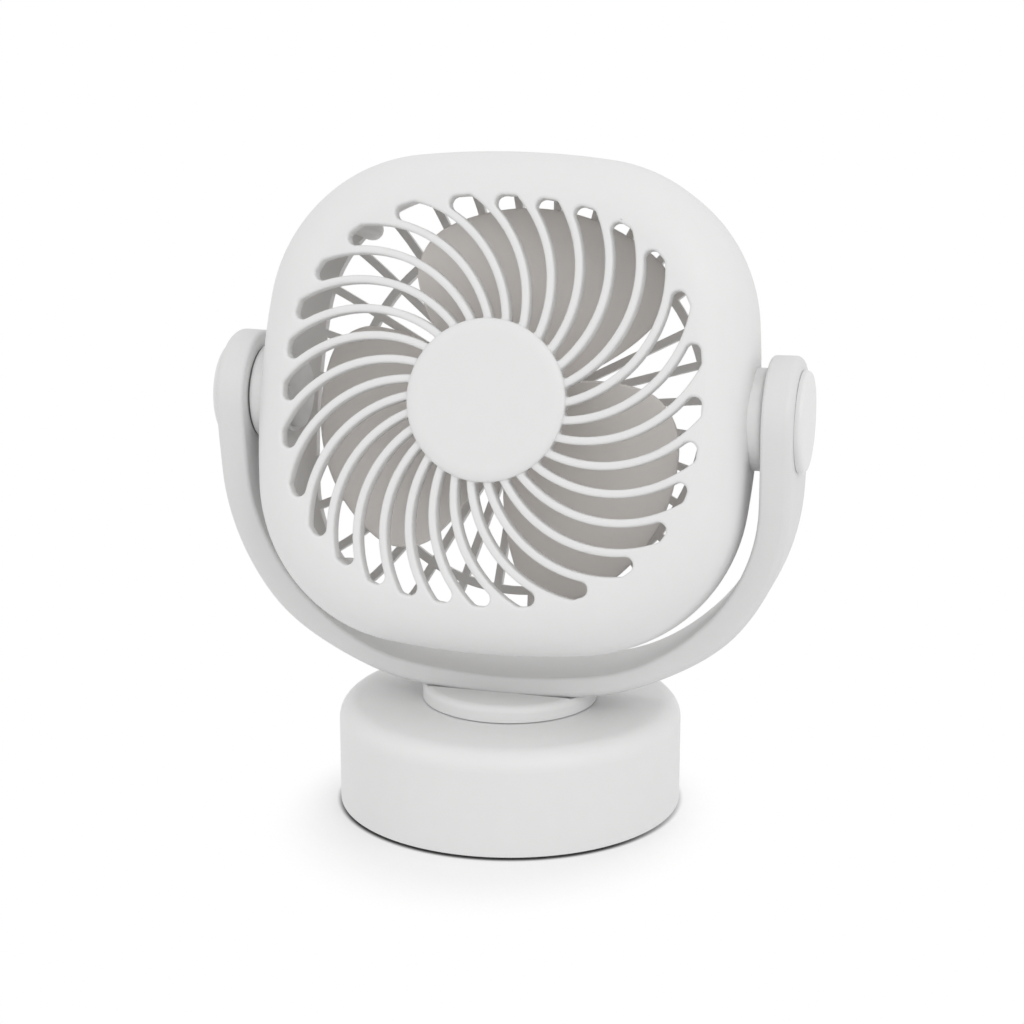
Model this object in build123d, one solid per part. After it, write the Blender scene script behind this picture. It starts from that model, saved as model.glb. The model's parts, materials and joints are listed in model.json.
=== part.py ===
from build123d import *
import math
import os

# A small rechargeable table fan: a square-shouldered head with a swirl grille hangs
# between the arms of a U-shaped yoke, and the yoke turns on a drum that holds the cells.
# Millimetres, +Z up. The origin is the middle of the face that the drum stands on, the
# fan blows towards -Y and the head tips about an axis along X.

# ---- head: outline and shells -----------------------------------------------------
HEAD_HALF_WIDTH = 76.0
HEAD_HALF_HEIGHT = 75.5
HEAD_SIDE_RADIUS = 255.0        # the bow of each side
HEAD_CORNER_RADIUS = 50.6
HEAD_FRONT = 28.0               # bezel face in front of the pivot axis
HEAD_BACK = 22.0                # back face behind the pivot axis
FRONT_ROLL = 18.0               # rounding from the bezel face into the side
BACK_ROLL = 20.0
SHELL_WALL = 2.4
SEAM_LIP_HEIGHT = 1.8
SEAM_LIP_THICKNESS = 1.1
HEAD_TILT = 14.5                # degrees that the head leans back at rest

# ---- swirl grille -----------------------------------------------------------------
SWIRL_RIB_COUNT = 29
SWIRL_RIB_WIDTH = 2.4
SWIRL_RIB_DEPTH = 4.6
SWIRL_ARC_RADIUS = 38.4         # radius of each rib's own arc
SWIRL_CENTRE_RADIUS = 40.1      # circle that the centres of those arcs lie on
SWIRL_START = 9.9               # degrees, turns the whole pattern
SWIRL_CROWDING = 2.8            # degrees by which ribs lean towards the lower left
SWIRL_THINNEST = 22.0           # bearing that they lean away from
SLOT_INNER_RADIUS = 23.6
SLOT_HALF_WIDTH = 63.7
SLOT_HALF_HEIGHT = 60.4
SLOT_SIDE_RADIUS = 123.0
SLOT_CORNER_RADIUS = 49.2
SLOT_CORNER_ROUND = 1.3
SLOT_END_ROUND = 2.3            # at the outer ends
SLOT_END_ZONE = 52.0            # radius from which the outer ends are rounded
SLOT_MOUTH_ROUND = 0.9
HUB_CAP_RADIUS = 24.5
HUB_CAP_PROUD = 2.0
HUB_CAP_ROUND = 1.5
HUB_SPIGOT_RADIUS = 20.0
HUB_SPIGOT_DEPTH = 1.6

# ---- rear grille ------------------------------------------------------------------
REAR_RIB_COUNT = 32
REAR_RIB_WIDTH = 2.4
REAR_WALL = 2.6
REAR_HUB_RADIUS = 21.0
REAR_RING_RADIUS = 57.0
REAR_RING_WIDTH = 2.6
REAR_SLOT_INSET = 8.5           # from the head's outline to the outer end of the slots

# ---- screws that join the two shells ----------------------------------------------
SHELL_POST_REACH = 77.0         # from the fan's axis, along the diagonals
SHELL_POST_RADIUS = 3.2
SHELL_TOWER_RADIUS = 3.8
SHELL_SCREW_SEAT = 8.0          # depth of the screw head's seat behind the seam
SHELL_SCREW_GRIP = 8.0

# ---- motor and impeller -----------------------------------------------------------
MOTOR_RADIUS = 12.2
MOTOR_LENGTH = 24.0
MOTOR_WALL = 0.8
MOTOR_SEAT_WALL = 2.0
MOTOR_SEAT_HEIGHT = 9.0
MOTOR_END_CAP_THICKNESS = 2.4
MAGNET_THICKNESS = 2.0
MAGNET_LENGTH = 14.0
MAGNET_SPAN = 150.0
ARMATURE_RADIUS = 8.6
ARMATURE_LENGTH = 12.0
COMMUTATOR_RADIUS = 3.4
COMMUTATOR_LENGTH = 3.0
SHAFT_RADIUS = 1.15
MOTOR_BUSH_RADIUS = 3.0
MOTOR_BUSH_LENGTH = 2.6
MOTOR_SCREW_SPREAD = 8.0
MOTOR_SCREW_SINK = 1.1
HUB_RADIUS = 18.0
HUB_LENGTH = 17.0
HUB_BACK = -4.0                 # back edge of the impeller's hub, from the pivot axis
HUB_WALL = 2.0
HUB_ROUND = 4.0
HUB_BOSS_RADIUS = 3.6
BLADE_COUNT = 3
BLADE_THICKNESS = 1.7
BLADE_TIP_CLEARANCE = 2.15      # from the inner ends of the pivot bosses
BLADE_TRAILING_STEP = 5.0       # by which the tip circle falls away to the other corner
BLADE_MIDDLE = 4.0              # height of the blades' middle in front of the pivot axis
BLADE_ROOT_START = 22.0         # degrees round the axis, at the hub
BLADE_ROOT_END = 138.0
BLADE_TIP_START = 35.0
BLADE_TIP_END = 113.0
BLADE_ROOT_RISE = 13.0          # over the root's whole turn
BLADE_TIP_RISE = 24.0           # over the tip's whole turn
BLADE_CORNER_ROUND = 9.0
IMPELLER_TURN = 4.0

# ---- yoke -------------------------------------------------------------------------
YOKE_SIDE_CLEARANCE = 3.8       # from the head's widest point to an arm
YOKE_FLOOR_CLEARANCE = 4.7      # from the head's outline to the strap under it
YOKE_ARM_RADIUS = 900.0         # the faint bow of the arms
YOKE_FLOOR_RADIUS = 203.0       # the bow of the strap under the head
YOKE_CORNER_RADIUS = 66.0
YOKE_THICKNESS = 9.2
YOKE_HALF_DEPTH = 13.5
YOKE_EDGE_ROUND = 3.0
LOBE_RADIUS = 19.4
LOBE_TAPER = 46.0               # the lobes narrow to the strap over this drop

# ---- pivots -----------------------------------------------------------------------
PIVOT_BOSS_RADIUS = 15.3
PIVOT_GAP = 0.4                 # between the boss and the arm, filled by the washer
WASHER_THICKNESS = 0.3
PIVOT_NECK_RADIUS = 8.0
PIVOT_FLANGE_RADIUS = 10.4
PIVOT_FLANGE_THICKNESS = 2.0
SADDLE_RADIUS = 12.0
SADDLE_DEPTH = 4.4              # inwards from the shell's wall
PIVOT_PIN_RADIUS = 4.0
PIVOT_SCREW_RADIUS = 1.4
PIVOT_SCREW_HEAD_RADIUS = 2.8
PIVOT_SCREW_HEAD = 1.5
PIVOT_SCREW_LENGTH = 10.0
PIVOT_WASHER_RADIUS = 6.6
PIVOT_WASHER_THICKNESS = 0.8
LOBE_POCKET_RADIUS = 8.0
LOBE_POCKET_DEPTH = 4.0
CAP_RADIUS = 15.2
CAP_PROUD = 2.4
CAP_ROUND = 1.5

# ---- base drum --------------------------------------------------------------------
DRUM_RADIUS = 53.6
DRUM_TOP = 33.0
DRUM_ROUND = 6.0
DRUM_WALL = 2.2
DRUM_FOOT = 0.6                 # the drum's edge clears the table by this much
PLATE_THICKNESS = 2.4
PLATE_RISE = 0.5                # the plate sits this far above the drum's edge
FOOT_RING_SETBACK = 3.6         # of the foot's outer edge from the drum's side
FOOT_RING_WIDTH = 5.5
FOOT_RING_THICKNESS = 2.2
DRUM_POST_X = 20.0
DRUM_POST_SETBACK = 18.0        # of the front and back posts from the drum's side
DRUM_POST_RADIUS = 3.2
DRUM_SCREW_LENGTH = 9.0
CELL_RADIUS = 9.2
CELL_LENGTH = 65.0
CELL_SPREAD = 20.5              # of each cell's axis from the middle
CELL_LIFT = 0.9                 # of the cells above the plate
CRADLE_SPREAD = 22.0
CRADLE_THICKNESS = 3.0
CRADLE_HEIGHT = 6.5

# ---- swivel -----------------------------------------------------------------------
COLLAR_RADIUS = 27.4
COLLAR_HEIGHT = 5.4             # of its rim above the drum's top
STRAP_LIFT = 3.6                # of the strap's underside above the drum's top
COLLAR_ROUND = 2.2
BUSH_FLANGE_RADIUS = 22.0
BUSH_FLANGE_THICKNESS = 0.3
BUSH_WALL = 2.0
BUSH_DEPTH = 6.5
SWIVEL_TUBE_RADIUS = 9.0
SWIVEL_TUBE_BORE = 5.5
SWIVEL_TUBE_DROP = 14.5         # below the drum's top
SWIVEL_WASHER_RADIUS = 13.4
SWIVEL_WASHER_THICKNESS = 0.5
SWIVEL_NUT_RADIUS = 12.6
SWIVEL_NUT_HEIGHT = 4.0
YOKE_SCREW_SPREAD = 15.0
YOKE_SCREW_BITE = 6.0

# ---- board, socket, switch and button in the back of the drum ---------------------
BOARD_WIDTH = 37.0
BOARD_HEIGHT = 18.0
BOARD_THICKNESS = 1.6
BOARD_SETBACK = 10.0            # of the board's outer face from the drum's side
BOARD_BOTTOM = 5.4
BOARD_POST_SPREAD = 15.5
BOARD_POST_HEIGHT = 20.5
BOARD_POST_RADIUS = 2.2
BOARD_SCREW_RADIUS = 1.0
BOARD_SCREW_BITE = 4.0
BUTTON_HEIGHT = 18.0
BUTTON_RADIUS = 5.5
BUTTON_PROUD = 0.6
BUTTON_FLANGE_RADIUS = 6.6
BUTTON_FLANGE_THICKNESS = 1.0
BUTTON_TRAVEL = 0.5
SWITCH_SIZE = 6.0
SWITCH_BODY = 3.4
SWITCH_PLUNGER_RADIUS = 1.7
SWITCH_PLUNGER = 0.9
SOCKET_HEIGHT = 8.6             # of the charging inlet's middle above the table
SOCKET_WIDTH = 8.9
SOCKET_THICKNESS = 3.2
SOCKET_WALL = 0.35
SOCKET_INSET = 1.0              # of its mouth from the drum's surface
SOCKET_TONGUE = 0.7
LAMP_OFFSET = 10.5
LAMP_RADIUS = 1.2

# ---- shared fits and fasteners ----------------------------------------------------
RUNNING_FIT = 0.05              # radial, for what turns in a bore
SHAFT_FIT = 0.02                # radial, for the motor's shaft
SLIDING_FIT = 0.15              # around the button
SEAT_FIT = 0.05                 # around what is pushed into a seat
FACE_GAP = 0.05                 # between flat faces that turn on each other
SCREW_RADIUS = 1.25
SCREW_HEAD_RADIUS = 2.4
SCREW_HEAD_HEIGHT = 1.5
SCREW_DRIVE = 0.7               # radius of the recess in a screw's head

# ---- places worked out from the sizes above ---------------------------------------
TILT = math.radians(HEAD_TILT)
YOKE_HALF_WIDTH = HEAD_HALF_WIDTH + YOKE_SIDE_CLEARANCE + YOKE_THICKNESS
YOKE_DROP = HEAD_HALF_HEIGHT + YOKE_FLOOR_CLEARANCE + YOKE_THICKNESS
STRAP_BOTTOM = DRUM_TOP + STRAP_LIFT
PIVOT_HEIGHT = STRAP_BOTTOM + YOKE_DROP
HEAD_FRAME = Plane(
    origin=(0, 0, PIVOT_HEIGHT),
    x_dir=(1, 0, 0),
    z_dir=(0, -math.cos(TILT), math.sin(TILT)),
).location                       # x right, y up the head, z out of the front grille
YOKE_FRAME = Plane(
    origin=(0, 0, PIVOT_HEIGHT), x_dir=(1, 0, 0), z_dir=(0, -1, 0)
).location                       # the same for a head that stands upright
BACK_FRAME = Plane(
    origin=(0, 0, 0), x_dir=(-1, 0, 0), z_dir=(0, 1, 0)
).location                       # x to the left, y up, z out of the drum's back
REAR_FLOOR = -HEAD_BACK + REAR_WALL
SADDLE_BACK = HEAD_HALF_WIDTH - SHELL_WALL - 1.5 * SADDLE_DEPTH
BOSS_INNER = HEAD_HALF_WIDTH - SHELL_WALL - SADDLE_DEPTH - FACE_GAP
BLADE_TIP_RADIUS = BOSS_INNER - PIVOT_FLANGE_THICKNESS - BLADE_TIP_CLEARANCE
BLADE_TRAILING_TIP = BLADE_TIP_RADIUS - BLADE_TRAILING_STEP
MOTOR_FRONT = REAR_FLOOR + MOTOR_LENGTH
SHAFT_BACK = REAR_FLOOR + 0.4
HUB_FRONT = HUB_BACK + HUB_LENGTH
ARM_INNER = YOKE_HALF_WIDTH - YOKE_THICKNESS
BOSS_FACE = ARM_INNER - PIVOT_GAP
BUSH_TOP = DRUM_TOP + BUSH_FLANGE_THICKNESS
COLLAR_BOTTOM = BUSH_TOP + FACE_GAP
COLLAR_TOP = DRUM_TOP + COLLAR_HEIGHT
PLATE_BOTTOM = DRUM_FOOT + PLATE_RISE
PLATE_TOP = PLATE_BOTTOM + PLATE_THICKNESS
DRUM_INNER = DRUM_RADIUS - DRUM_WALL
FOOT_RING_OUTER = DRUM_RADIUS - FOOT_RING_SETBACK
FOOT_RING_INNER = FOOT_RING_OUTER - FOOT_RING_WIDTH
BOARD_OUTER_FACE = DRUM_RADIUS - BOARD_SETBACK
DRUM_POST_Y = DRUM_RADIUS - DRUM_POST_SETBACK
DRUM_CEILING = DRUM_TOP - DRUM_WALL
BUSH_BOTTOM = DRUM_TOP - BUSH_DEPTH


class Outline:
    """A square with bowed sides, made of eight arcs that run tangent into each other."""

    def __init__(self, half_x, half_y, side_x, side_y, corner):
        self.half_x = half_x
        self.half_y = half_y
        self.side_x = side_x        # radius of the left and right sides
        self.side_y = side_y        # radius of the top and bottom
        self.corner = corner

    def inset(self, amount):
        return Outline(
            self.half_x - amount,
            self.half_y - amount,
            self.side_x - amount,
            self.side_y - amount,
            self.corner - amount,
        )

    def corner_centre(self):
        """Where circles round the two side arcs' centres cross."""
        x0 = self.half_x - self.side_x
        y0 = self.half_y - self.side_y
        reach_x = self.side_x - self.corner
        reach_y = self.side_y - self.corner
        apart = math.hypot(x0, y0)
        along = (reach_x**2 - reach_y**2 + apart**2) / (2 * apart)
        across = math.sqrt(reach_x**2 - along**2)
        unit_x = -x0 / apart
        unit_y = y0 / apart
        return x0 + along * unit_x - across * unit_y, along * unit_y + across * unit_x

    def face(self):
        kx, ky = self.corner_centre()
        cx = self.half_x - self.side_x
        cy = self.half_y - self.side_y
        right = math.degrees(math.atan2(ky, kx - cx))
        top = math.degrees(math.atan2(kx, ky - cy))
        turn = 90 - right - top
        arcs = [
            CenterArc((cx, 0), self.side_x, -right, 2 * right),
            CenterArc((kx, ky), self.corner, right, turn),
            CenterArc((0, cy), self.side_y, 90 - top, 2 * top),
            CenterArc((-kx, ky), self.corner, 90 + top, turn),
            CenterArc((-cx, 0), self.side_x, 180 - right, 2 * right),
            CenterArc((-kx, -ky), self.corner, 180 + right, turn),
            CenterArc((0, -cy), self.side_y, 270 - top, 2 * top),
            CenterArc((kx, -ky), self.corner, 270 + top, turn),
        ]
        return make_face(arcs)


HEAD_OUTLINE = Outline(
    HEAD_HALF_WIDTH, HEAD_HALF_HEIGHT, HEAD_SIDE_RADIUS, HEAD_SIDE_RADIUS, HEAD_CORNER_RADIUS
)
SLOT_OUTLINE = Outline(
    SLOT_HALF_WIDTH, SLOT_HALF_HEIGHT, SLOT_SIDE_RADIUS, SLOT_SIDE_RADIUS, SLOT_CORNER_RADIUS
)
YOKE_OUTLINE = Outline(
    YOKE_HALF_WIDTH, YOKE_DROP, YOKE_ARM_RADIUS, YOKE_FLOOR_RADIUS, YOKE_CORNER_RADIUS
)


# ---- small shared builders --------------------------------------------------------
def disc(radius, bottom, top):
    """An upright cylinder between two heights."""
    return Pos(0, 0, bottom) * extrude(Circle(radius), top - bottom)


def ring(outer, inner, bottom, top):
    return disc(outer, bottom, top) - disc(inner, bottom - 1, top + 1)


def rod_x(radius, start, end):
    """A cylinder along X, in whichever frame it is used."""
    return Pos(start, 0, 0) * Rot(0, 90, 0) * extrude(Circle(radius), end - start)


def screw(radius, length, head_radius, head_height):
    """Head above Z = 0, shank below, with a cross recess."""
    body = disc(head_radius, 0, head_height) + disc(radius, -length, 0)
    slot = Box(head_radius * 1.3, SCREW_DRIVE, head_height)
    cross = slot + Rot(0, 0, 90) * slot
    return body - Pos(0, 0, head_height) * cross


def polar(radius, degrees):
    angle = math.radians(degrees)
    return radius * math.cos(angle), radius * math.sin(angle)


def end_edges(solid, highest):
    """The edges round a solid's top or bottom face."""
    return solid.faces().sort_by(Axis.Z)[-1 if highest else 0].edges()


# ---- head shells ------------------------------------------------------------------
def head_front_block(inset, reach, roll):
    block = extrude(HEAD_OUTLINE.inset(inset).face(), reach)
    return fillet(end_edges(block, True), roll)


def head_back_block(inset, reach, roll):
    block = Pos(0, 0, -reach) * extrude(HEAD_OUTLINE.inset(inset).face(), reach)
    return fillet(end_edges(block, False), roll)


def post_places():
    reach = SHELL_POST_REACH / math.sqrt(2)
    return [(sx * reach, sy * reach) for sx in (-1, 1) for sy in (-1, 1)]


def rib_bearing(index):
    """Where the centre of a rib's arc stands: an even pitch with a slight crowding."""
    even = SWIRL_START + index * 360 / SWIRL_RIB_COUNT
    away = math.cos(math.radians(even - SWIRL_THINNEST))
    return even - SWIRL_CROWDING * away


def soft_corners(face, radius):
    """Rounds every corner that sticks out, by offsetting in and out again."""
    shrunk = offset(face, amount=-radius, kind=Kind.ARC)
    return offset(shrunk, amount=radius, kind=Kind.ARC)


def swirl_slot(index):
    """The opening between one rib and the next, cut by the circles of both."""
    this_rib = Pos(*polar(SWIRL_CENTRE_RADIUS, rib_bearing(index)))
    next_rib = Pos(*polar(SWIRL_CENTRE_RADIUS, rib_bearing(index + 1)))
    inside = this_rib * Circle(SWIRL_ARC_RADIUS - SWIRL_RIB_WIDTH / 2)
    outside = next_rib * Circle(SWIRL_ARC_RADIUS + SWIRL_RIB_WIDTH / 2)
    slot = (inside - outside - Circle(SLOT_INNER_RADIUS)) & SLOT_OUTLINE.face()
    slot = slot.faces().sort_by(SortBy.AREA)[-1]
    return (soft_corners(slot, SLOT_CORNER_ROUND) & Circle(SLOT_END_ZONE)) + soft_corners(
        slot, SLOT_END_ROUND
    )


def pivot_saddle(side, seam_side):
    """Half of the round seat that holds the pivot's neck, on one side of the seam."""
    outer = HEAD_HALF_WIDTH - SHELL_WALL / 2
    inner = HEAD_HALF_WIDTH - SHELL_WALL - SADDLE_DEPTH
    block = rod_x(SADDLE_RADIUS, side * inner, side * outer)
    half = Pos(side * HEAD_HALF_WIDTH, 0, seam_side * SADDLE_RADIUS) * Box(
        HEAD_HALF_WIDTH, 4 * SADDLE_RADIUS, 2 * SADDLE_RADIUS
    )
    return block & half


def pivot_bore(side):
    inner = HEAD_HALF_WIDTH - 3 * SHELL_WALL - SADDLE_DEPTH
    return rod_x(PIVOT_NECK_RADIUS + SEAT_FIT, side * inner, side * (HEAD_HALF_WIDTH + 1))


def slot_mouth_edges(shell):
    """The edges round the slots' outer mouths, on the bezel and on its roll."""
    mouths = []
    for edge in shell.edges():
        middle = edge.center()
        outside_hub = math.hypot(middle.X, middle.Y) > SLOT_INNER_RADIUS - 0.5
        if outside_hub and edge.bounding_box().min.Z > HEAD_FRONT - SWIRL_RIB_DEPTH + 0.3:
            mouths.append(edge)
    return mouths


def front_shell():
    ceiling = HEAD_FRONT - SWIRL_RIB_DEPTH
    outer = head_front_block(0, HEAD_FRONT, FRONT_ROLL)
    cavity = head_front_block(SHELL_WALL, ceiling, FRONT_ROLL - SHELL_WALL)
    shell = outer - cavity
    for side in (-1, 1):
        shell += pivot_saddle(side, 1) & outer
    lip_outline = HEAD_OUTLINE.inset(SHELL_WALL - SEAM_LIP_THICKNESS)
    lip = extrude(lip_outline.face(), -SEAM_LIP_HEIGHT)
    lip -= extrude(HEAD_OUTLINE.inset(SHELL_WALL).face(), -SEAM_LIP_HEIGHT)
    for side in (-1, 1):
        lip -= rod_x(SADDLE_RADIUS + SEAT_FIT, side * SADDLE_BACK, side * HEAD_HALF_WIDTH)
    shell += lip
    for place in post_places():
        shell += Pos(*place) * disc(SHELL_POST_RADIUS, 0, ceiling + 1) & outer
    for place in post_places():
        shell -= Pos(*place) * disc(SCREW_RADIUS, -1, SHELL_SCREW_GRIP + 1)
    for side in (-1, 1):
        shell -= pivot_bore(side)
    shell -= disc(HUB_SPIGOT_RADIUS + SEAT_FIT, HEAD_FRONT - HUB_SPIGOT_DEPTH, HEAD_FRONT + 1)
    slots = [
        Pos(0, 0, ceiling - 6) * extrude(swirl_slot(index), SWIRL_RIB_DEPTH + 12)
        for index in range(SWIRL_RIB_COUNT)
    ]
    shell -= slots
    return fillet(slot_mouth_edges(shell), SLOT_MOUTH_ROUND)


def hub_cap():
    face = disc(HUB_CAP_RADIUS, HEAD_FRONT, HEAD_FRONT + HUB_CAP_PROUD)
    face = fillet(end_edges(face, True), HUB_CAP_ROUND)
    return face + disc(HUB_SPIGOT_RADIUS, HEAD_FRONT - HUB_SPIGOT_DEPTH, HEAD_FRONT)


def rear_window(index, inner, outline):
    """One opening between two straight ribs, from a radius out to an outline."""
    step = 360 / REAR_RIB_COUNT
    half_turn = math.radians(step / 2)
    apex = REAR_RIB_WIDTH / 2 / math.sin(half_turn)
    reach = 2 * HEAD_HALF_WIDTH
    rise = (reach - apex) * math.tan(half_turn)
    wedge = make_face(Polyline((apex, 0), (reach, rise), (reach, -rise), close=True))
    return Rot(0, 0, index * step) * (wedge - Circle(inner)) & outline


def rear_shell():
    outer = head_back_block(0, HEAD_BACK, BACK_ROLL)
    cavity = head_back_block(SHELL_WALL, HEAD_BACK - REAR_WALL, BACK_ROLL - SHELL_WALL)
    shell = outer - cavity
    for side in (-1, 1):
        shell += pivot_saddle(side, -1) & outer
    rebate_inset = SHELL_WALL - SEAM_LIP_THICKNESS - SEAT_FIT
    rebate_depth = SEAM_LIP_HEIGHT + SEAT_FIT
    rebate = extrude(HEAD_OUTLINE.inset(rebate_inset).face(), -rebate_depth)
    rebate -= extrude(HEAD_OUTLINE.inset(SHELL_WALL + 0.01).face(), -rebate_depth)
    for side in (-1, 1):
        rebate -= rod_x(SADDLE_RADIUS, side * SADDLE_BACK, side * HEAD_HALF_WIDTH)
    shell -= rebate
    ring_outer = REAR_RING_RADIUS + REAR_RING_WIDTH / 2
    ring_inner = REAR_RING_RADIUS - REAR_RING_WIDTH / 2
    slot_outline = HEAD_OUTLINE.inset(REAR_SLOT_INSET).face()
    inner_disc = make_face(Circle(ring_inner).edges())
    windows = []
    for index in range(REAR_RIB_COUNT):
        windows.append(rear_window(index, REAR_HUB_RADIUS, inner_disc))
        windows.append(rear_window(index, ring_outer, slot_outline))
    cutters = [Pos(0, 0, -HEAD_BACK - 1) * extrude(window, 12) for window in windows]
    shell -= cutters
    shell += ring(
        MOTOR_RADIUS + SEAT_FIT + MOTOR_SEAT_WALL,
        MOTOR_RADIUS + SEAT_FIT,
        REAR_FLOOR - 0.5,
        REAR_FLOOR + MOTOR_SEAT_HEIGHT,
    )
    for place in post_places():
        shell += Pos(*place) * disc(SHELL_TOWER_RADIUS, -HEAD_BACK, -SEAT_FIT) & outer
    for place in post_places():
        shell -= Pos(*place) * disc(SCREW_RADIUS + SLIDING_FIT, -HEAD_BACK, 1)
        shell -= Pos(*place) * disc(
            SCREW_HEAD_RADIUS + SLIDING_FIT, -HEAD_BACK - 1, -SHELL_SCREW_SEAT
        )
    for side in (-1, 1):
        shell -= pivot_bore(side)
        spread = side * MOTOR_SCREW_SPREAD
        shell -= Pos(spread, 0, 0) * disc(SCREW_RADIUS, -HEAD_BACK - 1, REAR_FLOOR + 1)
        shell -= Pos(spread, 0, 0) * disc(
            SCREW_HEAD_RADIUS + SEAT_FIT, -HEAD_BACK - 1, -HEAD_BACK + MOTOR_SCREW_SINK
        )
    return shell


def shell_screws():
    one = Rot(180, 0, 0) * screw(
        SCREW_RADIUS, SHELL_SCREW_SEAT + SHELL_SCREW_GRIP, SCREW_HEAD_RADIUS, SCREW_HEAD_HEIGHT
    )
    return [Pos(*place, -SHELL_SCREW_SEAT) * one for place in post_places()]


# ---- motor ------------------------------------------------------------------------
def motor_can():
    inner = MOTOR_RADIUS - MOTOR_WALL
    can = disc(MOTOR_RADIUS, REAR_FLOOR, MOTOR_FRONT)
    can = fillet(end_edges(can, True), 1.2)
    can -= disc(inner, REAR_FLOOR - 1, MOTOR_FRONT - MOTOR_WALL)
    can += disc(MOTOR_BUSH_RADIUS + 1.0, MOTOR_FRONT - 0.4, MOTOR_FRONT + MOTOR_BUSH_LENGTH / 2)
    return can - disc(MOTOR_BUSH_RADIUS, REAR_FLOOR, MOTOR_FRONT + MOTOR_BUSH_LENGTH)


def motor_end_cap():
    cap = disc(MOTOR_RADIUS - MOTOR_WALL, REAR_FLOOR, REAR_FLOOR + MOTOR_END_CAP_THICKNESS)
    cap += disc(MOTOR_BUSH_RADIUS + 1.4, REAR_FLOOR, REAR_FLOOR + MOTOR_END_CAP_THICKNESS + 1.0)
    cap -= disc(MOTOR_BUSH_RADIUS, REAR_FLOOR + 0.8, REAR_FLOOR + 2 * MOTOR_END_CAP_THICKNESS)
    for side in (-1, 1):
        cap -= Pos(side * MOTOR_SCREW_SPREAD, 0, 0) * disc(
            SCREW_RADIUS, REAR_FLOOR - 1, REAR_FLOOR + 2 * MOTOR_END_CAP_THICKNESS
        )
    return cap


def motor_bush(bottom):
    return ring(MOTOR_BUSH_RADIUS, SHAFT_RADIUS + SHAFT_FIT, bottom, bottom + MOTOR_BUSH_LENGTH)


def motor_magnets():
    outer = MOTOR_RADIUS - MOTOR_WALL
    bottom = REAR_FLOOR + MOTOR_END_CAP_THICKNESS + 4.0
    whole = ring(outer, outer - MAGNET_THICKNESS, bottom, bottom + MAGNET_LENGTH)
    half = math.radians(MAGNET_SPAN / 2)
    reach = 2 * MOTOR_RADIUS
    wedge_points = [(0, 0)]
    for angle in (-half, 0, half):
        wedge_points.append((reach * math.cos(angle), reach * math.sin(angle)))
    wedge = Pos(0, 0, bottom) * extrude(
        make_face(Polyline(*wedge_points, close=True)), MAGNET_LENGTH
    )
    return [whole & Rot(0, 0, turn) * wedge for turn in (0, 180)]


def motor_armature():
    bottom = REAR_FLOOR + MOTOR_END_CAP_THICKNESS + 5.0
    core = disc(ARMATURE_RADIUS, bottom, bottom + ARMATURE_LENGTH)
    core += disc(COMMUTATOR_RADIUS, bottom - COMMUTATOR_LENGTH, bottom)
    slot = Pos(ARMATURE_RADIUS, 0, bottom + ARMATURE_LENGTH / 2) * Box(
        ARMATURE_RADIUS, 1.4, ARMATURE_LENGTH * 2
    )
    for turn in range(3):
        core -= Rot(0, 0, 60 + 120 * turn) * slot
    return core - disc(SHAFT_RADIUS, bottom - 9, bottom + 20)


def motor_shaft():
    return disc(SHAFT_RADIUS, SHAFT_BACK + 0.8, HUB_FRONT - HUB_WALL)


def motor_screws():
    length = REAR_WALL - MOTOR_SCREW_SINK + MOTOR_END_CAP_THICKNESS
    one = Rot(180, 0, 0) * screw(SCREW_RADIUS, length, SCREW_HEAD_RADIUS, MOTOR_SCREW_SINK)
    seat = -HEAD_BACK + MOTOR_SCREW_SINK
    return [Pos(side * MOTOR_SCREW_SPREAD, 0, seat) * one for side in (-1, 1)]


# ---- impeller ---------------------------------------------------------------------
def blade_outline():
    """One blade seen along the axis, from inside the hub out to its rounded tip."""
    root = HUB_RADIUS - HUB_WALL / 2
    middle = (HUB_RADIUS + BLADE_TIP_RADIUS) / 2
    leading = ThreePointArc(
        polar(root, BLADE_ROOT_START),
        polar(middle, BLADE_ROOT_START + (BLADE_TIP_START - BLADE_ROOT_START) * 0.3),
        polar(BLADE_TIP_RADIUS, BLADE_TIP_START),
    )
    trailing = ThreePointArc(
        polar(BLADE_TRAILING_TIP, BLADE_TIP_END),
        polar(middle * 0.95, BLADE_TIP_END + (BLADE_ROOT_END - BLADE_TIP_END) * 0.55),
        polar(root, BLADE_ROOT_END),
    )
    tip_middle = (BLADE_TIP_START + BLADE_TIP_END) / 2
    tip = ThreePointArc(
        polar(BLADE_TIP_RADIUS, BLADE_TIP_START),
        polar((2 * BLADE_TIP_RADIUS + BLADE_TRAILING_TIP) / 3 + 1.2, tip_middle),
        polar(BLADE_TRAILING_TIP, BLADE_TIP_END),
    )
    foot = ThreePointArc(
        polar(root, BLADE_ROOT_END),
        polar(root, (BLADE_ROOT_START + BLADE_ROOT_END) / 2),
        polar(root, BLADE_ROOT_START),
    )
    outline = make_face([leading, tip, trailing, foot])
    far = outline.vertices().sort_by_distance((0, 0, 0))[-2:]
    return fillet(far, BLADE_CORNER_ROUND)


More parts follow.
